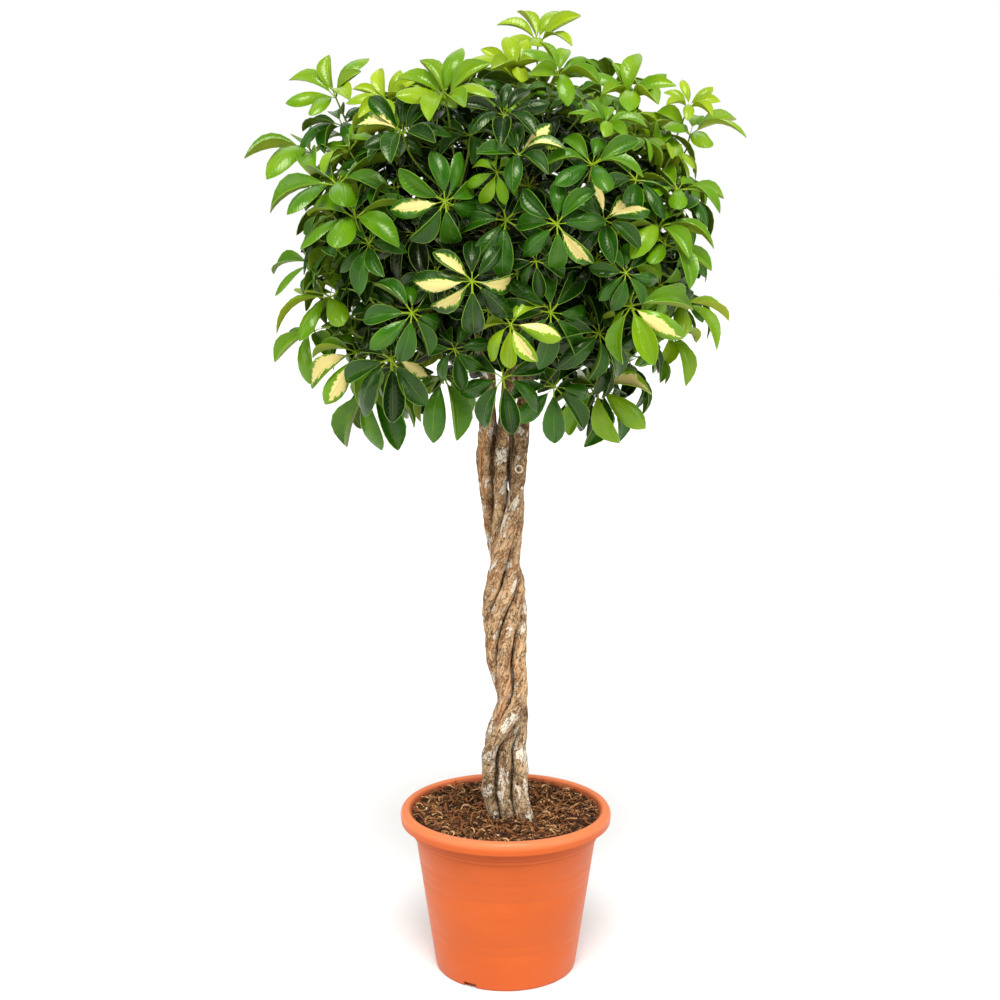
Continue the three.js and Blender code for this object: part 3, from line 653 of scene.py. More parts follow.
def way_to(column, row):
    """The direction from the camera to the photograph's column and row."""
    right, rise = (column - PHOTO_MIDDLE) / CAMERA_FOCAL, (PHOTO_MIDDLE - row) / CAMERA_FOCAL
    pitch = Matrix.Rotation(-CAMERA_PITCH, 3, "X")
    return (pitch @ Vector((right, 1, rise))).normalized()


def on_bark(stems, column, row):
    """The place of the bark that the photograph's column and row show, and its normal."""
    way = way_to(column, row)
    hits = [stem.ray_cast(CAMERA_PLACE, way) for stem in stems]
    hits = [(place, normal) for hit, place, normal, _ in hits if hit]
    return min(hits, key=lambda hit: (hit[0] - CAMERA_PLACE).length)


def make_camera():
    camera = bpy.data.cameras.new("camera")
    camera.sensor_width = SENSOR
    camera.lens = CAMERA_FOCAL * SENSOR / PHOTO_SIZE
    camera.clip_start = 0.05
    holder = bpy.data.objects.new("camera", camera)
    holder.location = CAMERA_PLACE
    holder.rotation_euler = (pi / 2 - CAMERA_PITCH, 0, 0)
    bpy.context.collection.objects.link(holder)
    bpy.context.scene.camera = holder


def make_light(name, way, softness, strength):
    """A far light that shines along a direction, soft by its angle across."""
    light = bpy.data.lights.new(name, "SUN")
    light.angle = radians(softness)
    light.energy = strength
    holder = bpy.data.objects.new(name, light)
    holder.rotation_euler = Vector(way).to_track_quat("-Z", "Y").to_euler()
    bpy.context.collection.objects.link(holder)


def make_surround():
    """A world that is white to the eye. As a light it is bright overhead, which gives the leaves their
    sheen, and dim towards the floor, which keeps the shade inside the plant deep."""
    world = bpy.data.worlds.new("surround")
    world.use_nodes = True
    tree = world.node_tree

    def add(kind, inputs=(), output=0, **settings):
        return add_node(tree, kind, inputs, **settings).outputs[output]

    height = add("SeparateXYZ", [("Vector", add("TexCoord", output="Generated"))], "Z")
    ranges = zip(("From Min", "From Max", "To Min", "To Max"), (*SURROUND_HEIGHTS, *SURROUND_LIGHT))
    level = add("MapRange", [("Value", height), *ranges], "Result", interpolation_type="SMOOTHSTEP")
    light = add("VectorMath", [(0, SURROUND_COLOUR), ("Scale", level)], operation="SCALE")
    to_the_eye = add("LightPath", output="Is Camera Ray")
    shade = add("Mix", [(0, to_the_eye), (6, light), (7, (1, 1, 1, 1))], 2, data_type="RGBA")
    tree.links.new(shade, tree.nodes["Background"].inputs["Color"])
    bpy.context.scene.world = world


def make_studio():
    """A pale floor, a white surround, a soft key from above the camera and weaker lights from the sides
    and from behind."""
    bpy.ops.mesh.primitive_circle_add(vertices=64, radius=6, fill_type="NGON")
    floor = bpy.context.object
    floor.name = "studio_floor"
    edit(floor, "FACE")
    bpy.ops.mesh.inset(thickness=5)
    bpy.ops.mesh.select_all(action="INVERT")
    bpy.ops.transform.resize(value=(40, 40, 1))
    leave_edit()
    floor.data.materials.append(floor_paint())
    make_surround()
    for light in LIGHTS:
        make_light(*light)
    bpy.context.scene.view_settings.view_transform = "Standard"


def turned(profile, name):
    """A pot-like piece: a round base face, drawn up and scaled from one (radius, height) to the next."""
    radius, height = profile[0]
    bpy.ops.mesh.primitive_circle_add(vertices=POT_SIDES, radius=radius, fill_type="NGON",
                                      location=(0, 0, height))
    piece = bpy.context.object
    piece.name = name
    settle(piece)
    edit(piece, "FACE")
    for next_radius, next_height in profile[1:]:
        bpy.ops.mesh.extrude_region_move(TRANSFORM_OT_translate={"value": (0, 0, next_height - height)})
        grow = next_radius / radius
        bpy.ops.transform.resize(value=(grow, grow, 1), center_override=(0, 0, next_height))
        radius, height = next_radius, next_height
    bpy.ops.mesh.select_all(action="SELECT")
    bpy.ops.mesh.normals_make_consistent(inside=False)
    leave_edit()
    return piece


def wall_radius(height):
    """The outside radius of the pot's wall at a height."""
    return between(BASE_RADIUS, WALL_TOP_RADIUS, height / (POT_HEIGHT - RIM_BEAD_HEIGHT))


def pot_profile():
    """The pot's section: up the outside, over the rolled rim and down the inside."""
    bead = POT_HEIGHT - RIM_BEAD_HEIGHT
    crest = RIM_RADIUS - RIM_BEAD_WIDTH / 2
    points = [(BASE_RADIUS - 5 * MM, 0), (BASE_RADIUS - 2.2 * MM, 0.3 * MM),
              (BASE_RADIUS - 0.6 * MM, 1.6 * MM), (BASE_RADIUS + 0.2 * MM, 4.5 * MM)]
    rings = [(26, 0)]
    for middle, deep in POT_GROOVES:
        rings += [(middle - 1.6, 0), (middle - 0.8, -deep), (middle + 0.8, -deep), (middle + 1.6, 0)]
    points += [(wall_radius(z * MM) + step * MM, z * MM) for z, step in rings + POT_STEPS]
    points += [(WALL_TOP_RADIUS + 4.4 * MM, bead + 1 * MM), (WALL_TOP_RADIUS + 5.2 * MM, bead + 4.2 * MM),
               (RIM_RADIUS - 6 * MM, bead + 4.6 * MM), (RIM_RADIUS - 3.2 * MM, bead + 2.2 * MM),
               (RIM_RADIUS - 2.2 * MM, bead - 0.2 * MM), (RIM_RADIUS - 1.0 * MM, bead - 0.2 * MM)]
    for step in range(1, 12):
        angle = radians(between(-10, 168, step / 11))
        points.append((crest + (RIM_BEAD_WIDTH / 2) * cos(angle),
                       POT_HEIGHT - RIM_BEAD_RISE + RIM_BEAD_RISE * sin(angle)))
    inner = WALL_TOP_RADIUS - POT_WALL
    points += [(inner + 1.2 * MM, bead + 6 * MM), (inner + 0.2 * MM, bead), (inner - 5 * MM, bead - 34 * MM),
               (BASE_RADIUS - POT_WALL, POT_FLOOR + 4 * MM), (BASE_RADIUS - POT_WALL - 4 * MM, POT_FLOOR)]
    return points


def make_pot():
    """The pot, lathed from its section, with its drain slots cut and its plastic on it."""
    pot = turned(pot_profile(), "nursery_pot")
    cutters = []
    for i in range(SLOT_COUNT):
        turn = radians(FIRST_SLOT + 360 * i / SLOT_COUNT)
        bpy.ops.mesh.primitive_cube_add(size=1, location=(*around(BASE_RADIUS, turn), 0),
                                        rotation=(0, 0, turn), scale=SLOT_SIZE)
        cutters.append(bpy.context.object)
    cutter = join(cutters, "slot_cutter")
    cut = pot.modifiers.new("drain_slots", "BOOLEAN")
    cut.object = cutter
    cut.operation = "DIFFERENCE"
    cut.solver = "EXACT"
    settle(pot)
    bpy.data.objects.remove(cutter)
    smooth(pot, 38)
    pot.data.materials.append(pot_plastic())
    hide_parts("pot")
    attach(pot, "root")


def lift_of_soil(x, y):
    """How far the soil's surface is above SOIL_TOP at a place: dished, with a hollow beside the trunk."""
    parts = zip((x, y), HOLLOW_PLACE, HOLLOW_REACH)
    away = hypot(*[(at / MM - middle) / reach for at, middle, reach in parts])
    dish = SOIL_DISH * (x * x + y * y) / SOIL_RADIUS ** 2
    return dish - HOLLOW_DEPTH * MM * max(0, 1 - away * away)


def make_soil():
    """The body of the soil: a plug that fills the pot, its top inset ring by ring and roughened."""
    bpy.ops.mesh.primitive_cylinder_add(vertices=SOIL_SIDES, radius=SOIL_RADIUS, depth=SOIL_TOP - SOIL_FOOT,
                                        location=(0, 0, (SOIL_TOP + SOIL_FOOT) / 2))
    soil = bpy.context.object
    soil.name = "soil_body"
    settle(soil)
    edit(soil, "FACE", "DESELECT")
    pick(soil, lambda face: face.normal.z < -0.9, "faces")
    foot = (wall_radius(SOIL_FOOT) - POT_WALL - 1 * MM) / SOIL_RADIUS
    bpy.ops.transform.resize(value=(foot, foot, 1))
    pick(soil, lambda face: face.normal.z > 0.9, "faces")
    for _ in range(SOIL_RINGS):
        bpy.ops.mesh.inset(thickness=SOIL_RING_WIDTH)
    pick(soil, lambda face: face.normal.z > 0.9 and len(face.verts) == 4, "faces")
    bpy.ops.mesh.subdivide(number_cuts=1)
    leave_edit()
    top = soil.vertex_groups.new(name="top")
    inside = SOIL_RADIUS - 1 * MM
    top.add([v.index for v in soil.data.vertices
             if v.co.z > SOIL_TOP - 1 * MM and hypot(v.co.x, v.co.y) < inside], 1, "REPLACE")
    for vertex in soil.data.vertices:
        if vertex.co.z > SOIL_TOP - 1 * MM:
            vertex.co.z += lift_of_soil(vertex.co.x, vertex.co.y)
    displace(soil, "soil_heaps", 0.03, 7 * MM, "top")
    displace(soil, "soil_lumps", 0.007, 5 * MM, "top")
    only(soil)
    bpy.ops.object.shade_smooth()
    soil.data.materials.append(soil_crumb())
    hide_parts("soil")
    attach(soil, "root")


def rods(name, lines, sides, capped=True):
    """Round rods as one mesh, with closed or open ends. Each line is a list of (point, radius)."""
    curve = bpy.data.curves.new(name, "CURVE")
    curve.dimensions = "3D"
    curve.bevel_depth = 1
    curve.bevel_resolution = (sides - 4) // 2
    curve.use_fill_caps = capped
    for points in lines:
        line = curve.splines.new("POLY")
        line.points.add(len(points) - 1)
        for knot, (point, radius) in zip(line.points, points):
            knot.co = (*point, 1)
            knot.radius = radius
    piece = bpy.data.objects.new(name, curve)
    bpy.context.collection.objects.link(piece)
    only(piece)
    bpy.ops.object.convert(target="MESH")
    bpy.ops.object.shade_smooth()
    return bpy.context.object


def model_strand(name, curl, flat):
    """A strand of shredded bark one metre long: a four-sided rod that curls by so many turns of a circle."""
    line = []
    place = Vector((-0.3, 0, 0))
    for k in range(STRAND_STEPS + 1):
        t = k / STRAND_STEPS
        line.append((place.copy(), STRAND_WIDTH * (0.1 + 1.15 * sin(pi * min(t + 0.08, 1)))))
        heading = FULL_TURN * curl * (t - 0.5) * (1 + 0.6 * t)
        place += Vector((*around(1, heading), 0.35 * cos(7 * t + 9 * curl))) / STRAND_STEPS
    strand = rods(name, [line], 4, capped=False)
    edit(strand)
    bpy.ops.transform.resize(value=(1, 1, flat))
    leave_edit()
    strand.data.attributes.new("tone", "FLOAT", "POINT")
    return strand


def copy_of(pattern, place, **marks):
    """A copy of a modelled pattern with its own mesh, put in its place, with its marks set."""
    copy = bpy.data.objects.new(pattern.name + "_copy", pattern.data.copy())
    copy.data.transform(place)
    for name, value in marks.items():
        copy.data.attributes[name].data.foreach_set("value", [value] * len(copy.data.vertices))
    bpy.context.collection.objects.link(copy)
    return copy


def model_perlite():
    """A white grain, one metre across."""
    bpy.ops.mesh.primitive_ico_sphere_add(subdivisions=2, radius=0.5)
    grain = bpy.context.object
    displace(grain, "perlite_lumps", 0.4, 0.25)
    grain.data.attributes.new("tone", "FLOAT", "POINT")
    return grain


def gather_clump(n, patterns):
    """A clump of strands of many lengths that lie across each other."""
    strands = []
    for i in range(CLUMP_STRANDS):
        k = n * CLUMP_STRANDS + i
        length = between(*STRAND_LENGTHS, share(k, 11) ** 1.9) * MM
        x, y = (scatter(k, draw, -CLUMP_SPREAD, CLUMP_SPREAD) for draw in (12, 13))
        place = Matrix.Translation(Vector((x, y, scatter(k, 14, -1.5, 2.2))) * MM)
        place @= Matrix.Rotation(scatter(k, 15) * FULL_TURN, 4, "Z")
        place @= Matrix.Rotation(scatter(k, 16, -0.26, 0.26), 4, "Y")
        place @= Matrix.Rotation(scatter(k, 17) * FULL_TURN, 4, "X") @ Matrix.Scale(length, 4)
        strands.append(copy_of(patterns[k % len(patterns)], place, tone=scatter(k, 18) ** 1.8))
    return join(strands, "clump_" + str(n))


def strew_clumps(clumps):
    """Copies of the clumps over the soil, flatter towards the pot's wall, with none deep in the hollow."""
    laid = []
    for k in range(CLUMP_COUNT):
        reach = SOIL_RADIUS * ((k + 0.5) / CLUMP_COUNT) ** 0.45
        x, y = around(reach, k * GOLDEN_TURN + scatter(k, 20, -0.12, 0.12))
        lift = lift_of_soil(x, y)
        if lift < -HOLLOW_DEPTH * MM / 2:
            continue
        by_the_wall = (k / CLUMP_COUNT) ** 4
        height = lift + scatter(k, 21, -1.5, 2.4 - 1.6 * by_the_wall) * MM
        place = Matrix.Translation((x, y, SOIL_TOP + height))
        place @= Matrix.Diagonal((1, 1, 1 - 0.6 * by_the_wall, 1))
        place @= Matrix.Rotation(scatter(k, 22) * FULL_TURN, 4, "Z")
        place @= Matrix.Rotation(scatter(k, 23, -0.2, 0.2), 4, "X")
        laid.append(copy_of(clumps[int(scatter(k, 26) * len(clumps))], place))
    return laid


def strew_perlite(grain):
    """Copies of the white grain, here and there on the bark."""
    laid = []
    for k in range(PERLITE_COUNT):
        x, y = around((SOIL_RADIUS - 14 * MM) * sqrt(share(k, 24)), k * GOLDEN_TURN + 2.2)
        place = Matrix.Translation((x, y, SOIL_TOP + lift_of_soil(x, y) + 3 * MM))
        size = Matrix.Scale(share(k, 25, *PERLITE_SIZES) * MM, 4)
        laid.append(copy_of(grain, place @ size, tone=2.0))
    return laid


def make_mulch():
    """Shredded bark over the soil: strands gathered in clumps, and the clumps strewn over the top with a few
    grains of perlite. What would pass through the pot's wall is drawn in."""
    patterns = [model_strand("strand_" + str(n), *shape) for n, shape in enumerate(STRAND_SHAPES)]
    clumps = [gather_clump(n, patterns) for n in range(CLUMP_KINDS)]
    perlite = model_perlite()
    mulch = join(strew_clumps(clumps) + strew_perlite(perlite), "shredded_bark")
    for vertex in mulch.data.vertices:
        pull = MULCH_REACH / max(MULCH_REACH, hypot(vertex.co.x, vertex.co.y))
        vertex.co.x *= pull
        vertex.co.y *= pull
    for pattern in patterns + clumps + [perlite]:
        bpy.data.objects.remove(pattern)
    smooth(mulch, 50)
    mulch.data.materials.append(mulch_fibre())
    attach(mulch, "root")


def stem_at(seat, height):
    """The middle and radius of a stem at a height in millimetres. It runs straight down in the soil."""
    along, across, radius = seat
    z = max(height, BUNDLE_FOOT)
    turn = through(QUARTER_TURNS, z) * pi / 2
    spread = through(BUNDLE_SPREAD, z)
    seat_now = (along * cos(turn) - across * sin(turn), along * sin(turn) + across * cos(turn), 0)
    middle = Vector(seat_now) * spread + Vector((through(CENTRE_LINE, z), 0, height))
    knob = 1 + 0.035 * sin(height / 9 + along) * sin(height / 23 + across)
    flare = 1 + 0.2 * max(0, 1 - abs(height - BUNDLE_FOOT) / 28)
    return middle * MM, radius * knob * flare * MM


def head_point(compass, rise, size):
    """A point of the head, from a compass turn, a rise above level and a share of the shell's size."""
    t, r = radians(compass), radians(rise)
    outward = Vector((*around(cos(r), t), sin(r)))
    return HEAD_CENTRE + outward * SHELL * size


def shoot_lines():
    """The stem, number, start and end of each leafy shoot."""
    lines = []
    for stem in range(len(STEM_SEATS)):
        for n, (turn, rise) in enumerate(SHOOT_TURNS):
            i = len(lines)
            compass = FIRST_SECTOR + SECTOR * stem + turn + share(i, 1, -6, 6)
            lift = rise + share(i, 2, -5, 5)
            lines.append({"stem": stem, "name": "leafy_shoot_" + str(stem + 1) + "_" + str(n + 1),
                          "start": head_point(compass, lift, SHOOT_START),
                          "end": head_point(compass, lift, SHOOT_END + share(i, 3, -0.03, 0.05))})
    return lines


def curved(points, steps):
    """Points along a quadratic curve from the first point to the third."""
    a, b, c = points
    places = []
    for k in range(steps + 1):
        t = k / steps
        places.append(a * (1 - t) ** 2 + b * (2 * t * (1 - t)) + c * t * t)
    return places


def mark_crevices(wood, seat):
    """Marks, from 0 to 1, how far each point of a stem in the bundle is from the nearest of the other
    stems. A point above the bundle gets 1. The bark paints shade by it, darkest where the stems touch."""
    others = [other for other in STEM_SEATS if other != seat]
    shares = []
    for vertex in wood.data.vertices:
        gap = CREVICE_SHADE_GAP
        height = vertex.co.z / MM
        if height < TRUNK_TOP:
            for other in others:
                middle, radius = stem_at(other, height)
                gap = min(gap, ((vertex.co - middle).length - radius) / MM)
        shares.append(max(gap, 0) / CREVICE_SHADE_GAP)
    wood.data.attributes.new("crevice", "FLOAT", "POINT").data.foreach_set("value", shares)


def twig_line(shoot, knots):
    """The twig that carries a leafy shoot, from its root on the stem's leader to the shoot's start."""
    start, top = shoot["start"], knots[-1]
    out = hypot(start.x - top.x, start.y - top.y)
    rise = min(max(start.z - TWIG_SLOPE * out, knots[1].z), top.z - 4 * MM)
    i = max(next(n for n, knot in enumerate(knots) if knot.z >= rise), 1)
    root = knots[i - 1].lerp(knots[i], (rise - knots[i - 1].z) / (knots[i].z - knots[i - 1].z))
    bend = start - (shoot["end"] - start).normalized() * (0.4 * (start - root).length)
    path = curved([root, root.lerp(bend, 0.8), bend], 4) + [bend.lerp(start, 0.5), start]
    last = len(path) - 1
    return [(point, between(TWIG_RADIUS * 1.1, SHOOT_RADIUS, k / last)) for k, point in enumerate(path)]


def make_stems(shoots, bark):
    """The five stems, each from under the soil to the ends of its twigs."""
    stems = []
    for stem, seat in enumerate(STEM_SEATS):
        heights = [STEM_FOOT, *range(STEM_RINGS_FROM, TRUNK_TOP, STEM_RING_GAP), TRUNK_TOP]
        line = [stem_at(seat, height) for height in heights]
        sector = radians(FIRST_SECTOR + SECTOR * stem)
        knots = [line[-1][0]] + [Vector((*around(reach, sector), z)) * MM for reach, z in LEADER_PATH]
        wide = [line[-1][1]] + [radius * MM for radius in LEADER_RADII]
        for i in range(len(LEADER_PATH)):
            for t in (0.2, 0.4, 0.6, 0.8, 1):
                line.append((knots[i].lerp(knots[i + 1], t), between(wide[i], wide[i + 1], t)))
        twigs = [twig_line(shoot, knots) for shoot in shoots if shoot["stem"] == stem]
        wood = rods("bark_of_stem_" + str(stem + 1), [line] + twigs, 14)
        displace(wood, "bark_swells", 0.016, 3.4 * MM)
        displace(wood, "bark_ridges", 0.005, 2.1 * MM)
        mark_crevices(wood, seat)
        wood.data.materials.append(bark)
        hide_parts("stem_" + str(stem + 1))
        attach(wood, "root")
        stems.append(wood)
    return stems


def make_trunk_marks(stems):
    """The dried shoot, the thread and the scars that the photograph shows on the trunk's front."""
    def laid(places, radii):
        line = []
        for (column, row), radius in zip(places, radii):
            place, _ = on_bark(stems, column, row)
            line.append((place - way_to(column, row) * radius * 0.6 * MM, radius * MM))
        return line

    shoot = rods("dried_shoot", [laid(DRIED_SHOOT, DRIED_SHOOT_RADII)], 8)
    shoot.data.materials.append(plain_skin("dried_shoot_skin", (150, 96, 54), (206, 148, 96), 300))
    thread = rods("pale_thread", [laid(THREAD, [THREAD_RADIUS] * len(THREAD))], 6)
    thread.data.materials.append(plain_skin("thread", (206, 196, 176), (240, 234, 220), 600))
    scars = []
    for column, row, radius, thick in SCARS:
        place, normal = on_bark(stems, column, row)
        turn = normal.to_track_quat("Z", "Y").to_euler()
        bpy.ops.mesh.primitive_torus_add(location=place, rotation=turn, major_radius=radius * MM,
                                         minor_radius=thick * MM, major_segments=24, minor_segments=8)
        scars.append(bpy.context.object)
    scar = join(scars, "ring_scars")
    settle(scar)
    bpy.ops.object.shade_smooth()
    scar.data.materials.append(plain_skin("scar_tissue", (214, 194, 166), (246, 238, 222), 400))
    for piece in (shoot, thread, scar):
        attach(piece, "root")


def read_leaves(node):
    """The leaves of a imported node. A leaf's hub is the vertex where many faces meet, and its leaflet tips
    are the furthest of the points around it."""
    mesh = bmesh.new()
    mesh.from_mesh(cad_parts[node].data)
    bmesh.ops.remove_doubles(mesh, verts=mesh.verts, dist=0.01 * MM)
    mesh.normal_update()
    leaves = []
    for hub in mesh.verts:
        if len(hub.link_edges) < HUB_EDGES:
            continue
        facing = hub.normal.copy()
        first = facing.orthogonal().normalized()
        second = facing.cross(first)
        ring = [edge.other_vert(hub).co - hub.co for edge in hub.link_edges]
        ring.sort(key=lambda arm: atan2(arm.dot(second), arm.dot(first)))
        lengths = [arm.length for arm in ring]
        tips = [arm for k, arm in enumerate(ring) if lengths[k] > TIP_SHARE * max(lengths)
                and lengths[k] > lengths[k - 1] and lengths[k] > lengths[(k + 1) % len(ring)]]
        if len(tips) < LEAST_TIPS:
            continue
        arms = [tip.normalized() for tip in tips]
        axis = Vector()
        for k, arm in enumerate(arms):
            axis += arms[k - 1].cross(arm)
        leaves.append({"hub": hub.co.copy(), "facing": axis.normalized(), "tips": tips})
    mesh.free()
    return leaves


def arm_of(facing, first, turn, raised):
    """The direction of a leaflet, turned round its leaf from the first one's and raised above the leaf."""
    flat = first * cos(turn) + facing.cross(first) * sin(turn)
    return flat * cos(raised) + facing * sin(raised)


def leaf_arms(leaf, count, i):
    """The directions and lengths of a leaf's leaflets, one or two more than its solid has."""
    facing = leaf["facing"]
    first = (leaf["tips"][0] - facing * leaf["tips"][0].dot(facing)).normalized()
    second = facing.cross(first)
    tips = []
    for tip in leaf["tips"]:
        turn = round(atan2(tip.dot(second), tip.dot(first)), 6) % FULL_TURN
        tips.append((turn, tip.length, asin(tip.normalized().dot(facing))))
    tips.sort()
    tips.append((FULL_TURN, *tips[0][1:]))
    arms = []
    for k in range(count):
        draw = i * 9 + k
        turn = FULL_TURN * k / count
        n = max(m for m in range(len(tips) - 1) if tips[m][0] <= turn + 1e-6)
        t = (turn - tips[n][0]) / max(tips[n + 1][0] - tips[n][0], 1e-6)
        length = between(tips[n][1], tips[n + 1][1], t) * scatter(draw, 31, 0.86, 1.06)
        raised = between(tips[n][2], tips[n + 1][2], t) + radians(scatter(draw, 32, -11, 8))
        turn += radians(scatter(draw, 33, -8, 8))
        arms.append((arm_of(facing, first, turn, raised), length))
    return arms


def filler_leaves(hubs):
    """Leaves that the solids leave out: on shells inside the head, clear of the hubs there are. Those of the
    outermost shell, and half of the next, stay off the front, where the solids have each leaf that shows.
    Their hubs join the list."""
    leaves = []
    for shell, (size, count, apart) in enumerate(FILLER_SHELLS):
        for k in range(count):
            rise = 1 - 2 * (k + 0.5) / count
            outward = Vector((*around(sqrt(1 - rise * rise), k * GOLDEN_TURN + shell), rise))
            fullness = sum(abs(part) ** SHELL_POWER for part in outward) ** (-1 / SHELL_POWER)
            i = shell * 200 + k
            hub = HEAD_CENTRE + outward * SHELL * (fullness * size * share(i, 41, 0.95, 1.04))
            crowded = any((hub - other).length < apart * MM for other in hubs)
            off_front = shell == 0 or (shell == 1 and k % 2 == 0)
            if rise < FILLER_FOOT or crowded or (off_front and outward.y < FILLER_FRONT):
                continue
            lean = Vector((share(i, 42, -0.35, 0.35), share(i, 43, -0.35, 0.35), 0))
            side_on = hypot(outward.x, max(outward.y, 0))
            upward = UP * between(0.3, 0.85, side_on)
            facing = (outward * between(0.8, 0.35, side_on) + lean + upward).normalized()
            first = facing.orthogonal().normalized()
            raised = radians(share(i, 44, -16, 12))
            length = share(i, 45, *FILLER_LENGTHS) * MM
            turns = [FULL_TURN * n / FILLER_LEAFLETS for n in range(FILLER_LEAFLETS)]
            tips = [arm_of(facing, first, turn, raised) * length for turn in turns]
            leaves.append({"hub": hub, "facing": facing, "tips": tips, "filler": True})
            hubs.append(hub)
    return leaves


def nearest_shoot(leaf, shoots):
    """The shoot that comes nearest to a leaf's stalk."""
    stalk = leaf["hub"] - leaf["facing"] * 30 * MM

    def away(shoot):
        line = shoot["end"] - shoot["start"]
        t = min(max((stalk - shoot["start"]).dot(line) / line.length_squared, 0), 1)
        return (shoot["start"] + line * t - stalk).length

    return min(shoots, key=away)


def stalk_of(leaf, shoot, points):
    """The leaf's stalk, from the place on its shoot that the solid's stalk comes from. The solid's points
    tell that place, and a leaf that the solids leave out has none."""
    end = leaf["hub"] - leaf["facing"] * 0.7 * MM

    def course(root):
        start = shoot["start"].lerp(shoot["end"], root)
        return [start, end - leaf["facing"] * (STALK_BOW * (end - start).length), end]

    def miss(root):
        middle = curved(course(root), 2)[1]
        return min((middle - point).length for point in points)

    root = min(STALK_ROOTS, key=miss) if points else STALK_ROOTS[0]
    path = curved(course(root), STALK_STEPS)
    return [(point, STALK_RADIUS * between(1.25, 0.9, k / STALK_STEPS)) for k, point in enumerate(path)]


def model_leaflet(name, width, fold, bow, drop, skins):
    """A leaflet one metre long: a narrow stalk and a blade, from a grid drawn to its outline row by row,
    folded along the midrib, bowed, and given its thickness."""
    last = len(LEAFLET_ROWS) - 1
    bpy.ops.mesh.primitive_grid_add(x_subdivisions=last, y_subdivisions=4, size=1, location=(0.5, 0, 0))
    leaflet = bpy.context.object
    leaflet.name = name
    settle(leaflet)
    rows = [[v.index for v in leaflet.data.vertices if abs(v.co.x * last - i) < 0.1]
            for i in range(last + 1)]
    edit(leaflet, chosen="DESELECT")
    for across, height in ((0.25, 0.014), (0.5, fold)):
        pick(leaflet, lambda v: abs(abs(v.co.y) - across) < 0.01)
        bpy.ops.transform.translate(value=(0, 0, height))
    for i, (along, half) in enumerate(LEAFLET_ROWS):
        pick(leaflet, lambda v: v.index in rows[i])
        spread = 2 * half * (width if LEAFLET_STALK_ROWS <= i < last else 1)
        bpy.ops.transform.resize(value=(1, spread, spread / 0.35), center_override=(i / last, 0, 0))
        rise = bow * 4 * along * (1 - along) - drop * along ** 3
        bpy.ops.transform.translate(value=(along - i / last, 0, rise))
    leave_edit()
    for skin in skins:
        leaflet.data.materials.append(skin)
    shell = leaflet.modifiers.new("blade", "SOLIDIFY")
    shell.thickness = BLADE
    shell.offset = -1
    shell.material_offset = 1
    settle(leaflet)
    smooth(leaflet, 62)
    for mark in ("tone", "cream", "lean"):
        leaflet.data.attributes.new(mark, "FLOAT", "POINT")
    return leaflet


def noted(hub):
    """The tone and cream directions of a leaf that stands out in the photograph, or nothing."""
    place = in_photo(hub)
    for column, row, tone, *creams in NOTED_LEAVES:
        if (place - Vector((column, row))).length < NOTED_REACH and hub.y < NOTED_BACK:
            return tone, creams
    return None


def usual_tone(hub, i):
    """The tone of a leaf by its place: light on top and far out, dark inside and below. The light on top and
    far out is partly the leaves' own paler green and partly painted light; the dark inside and below is
    painted shade.
    """
    top = max(0, (hub.z - HEAD_CENTRE.z) / SHELL.z)
    rim = hypot(hub.x - HEAD_CENTRE.x, hub.y) / SHELL.x
    depth = Vector([away / reach for away, reach in zip(hub - HEAD_CENTRE, SHELL)]).length
    tone = 0.6 * top ** 1.5 + 0.75 * max(0, rim - 0.5) + share(i, 51, -0.2, 0.3)
    return between(TONE_RANGE[0], tone, min(1, max(0, (depth - 0.68) * 2.6)))


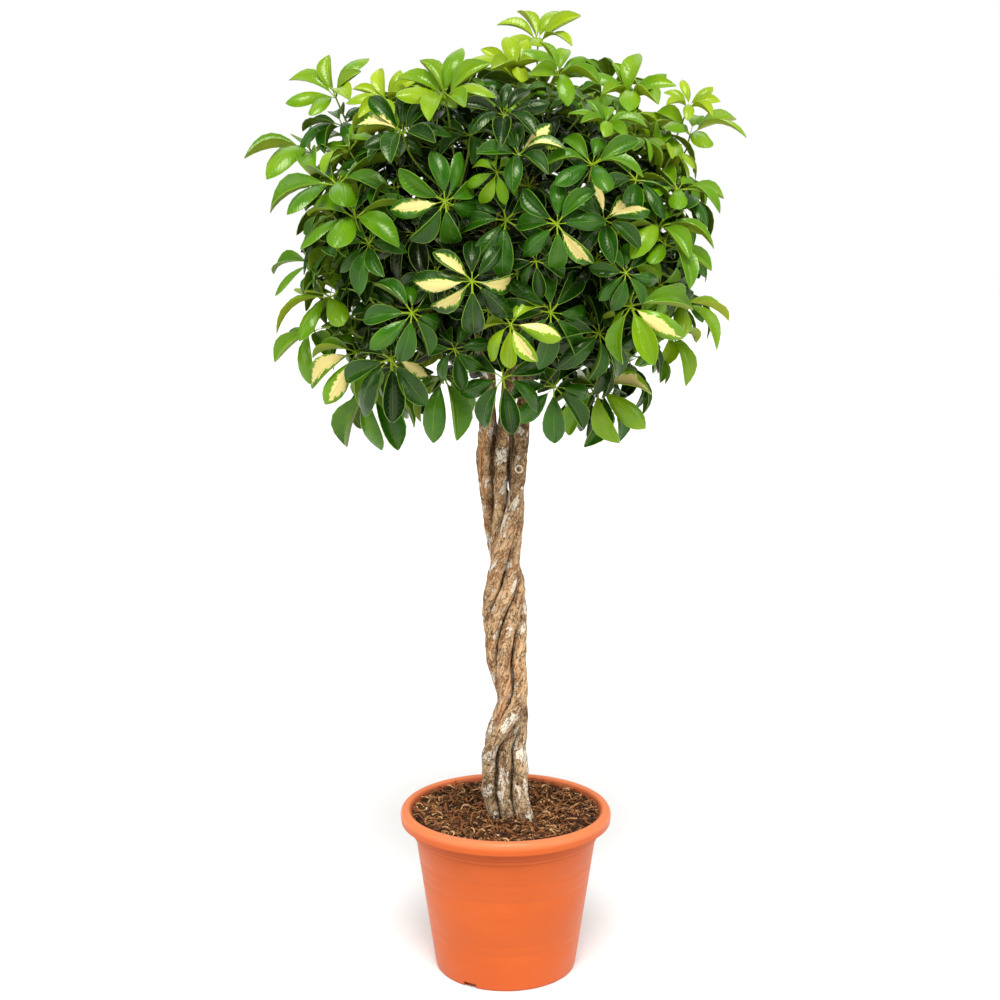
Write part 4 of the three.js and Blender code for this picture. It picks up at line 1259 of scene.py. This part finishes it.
def make_leaf(leaf, i, patterns):
    """The leaflets of one leaf, copied from the patterns."""
    hub, facing = leaf["hub"], leaf["facing"]
    mark = None if leaf.get("filler") else noted(hub)
    if mark:
        tone, directions = mark
    else:
        tone = usual_tone(hub, i)
        directions = [share(i, 52) * 360] if share(i, 53) > CREAM_ABOVE else []
    more = 1 + i % 2 if len(leaf["tips"]) < 7 else 1
    arms = leaf_arms(leaf, len(leaf["tips"]) + more, i)
    ways = [(in_photo(hub + arm * length) - in_photo(hub)).normalized() for arm, length in arms]
    cream = set()
    for degrees in directions:
        way = Vector((cos(radians(degrees)), -sin(radians(degrees))))
        cream.add(max(range(len(arms)), key=lambda k: ways[k].dot(way)))
    leaflets = []
    for k, (arm, length) in enumerate(arms):
        n = i * 9 + k
        upward = (facing - arm * arm.dot(facing)).normalized()
        upward = Matrix.Rotation(radians(share(n, 54, -24, 24)), 3, arm) @ upward
        basis = Matrix((arm, upward.cross(arm), upward)).transposed().to_4x4()
        place = Matrix.Translation(hub) @ basis @ Matrix.Scale(length, 4)
        leaflets.append(copy_of(patterns[n % len(patterns)], place, cream=float(k in cream),
                                lean=share(n, 56, -0.7, 0.7), tone=tone + share(n, 55, -0.08, 0.08)))
    return leaflets


def make_foliage():
    """One piece for each leafy shoot: the green shoot, the stalks and all the leaflets."""
    skins = [leaf_top(), leaf_underside()]
    patterns = [model_leaflet("leaflet_" + str(n), *shape, skins) for n, shape in enumerate(LEAFLET_SHAPES)]
    stalk = stalk_skin()
    shoots = shoot_lines()
    names = [shoot["name"] for shoot in shoots if shoot["name"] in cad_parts]
    grown = {name: read_leaves(name) for name in names}
    leafy = [shoot for shoot in shoots if grown.get(shoot["name"])]
    hubs = [leaf["hub"] for shoot in leafy for leaf in grown[shoot["name"]]]
    outer = len(hubs)
    for leaf in filler_leaves(hubs):
        grown[nearest_shoot(leaf, leafy)["name"]].append(leaf)
    print("leaves:", outer, "read from the solids and", len(hubs) - outer, "added inside")
    i = 0
    for shoot in leafy:
        name = shoot["name"]
        points = [v.co.copy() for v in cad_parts[name].data.vertices]
        lines = [[(shoot["start"].lerp(shoot["end"], t), SHOOT_RADIUS * between(1, 0.5, t * t))
                  for t in (0, 0.25, 0.5, 0.75, 1)]]
        leaflets = []
        for leaf in grown[name]:
            lines.append(stalk_of(leaf, shoot, [] if leaf.get("filler") else points))
            leaflets += make_leaf(leaf, i, patterns)
            i += 1
        stalks = rods("stalks", lines, 6)
        stalks.data.materials.append(stalk)
        piece = join(leaflets + [stalks], name.replace("leafy_shoot", "foliage_of_shoot"))
        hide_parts(name)
        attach(piece, "root")
    for pattern in patterns:
        bpy.data.objects.remove(pattern)


make_camera()
make_studio()
make_pot()
make_soil()
make_mulch()
make_trunk_marks(make_stems(shoot_lines(), bark_skin()))
make_foliage()
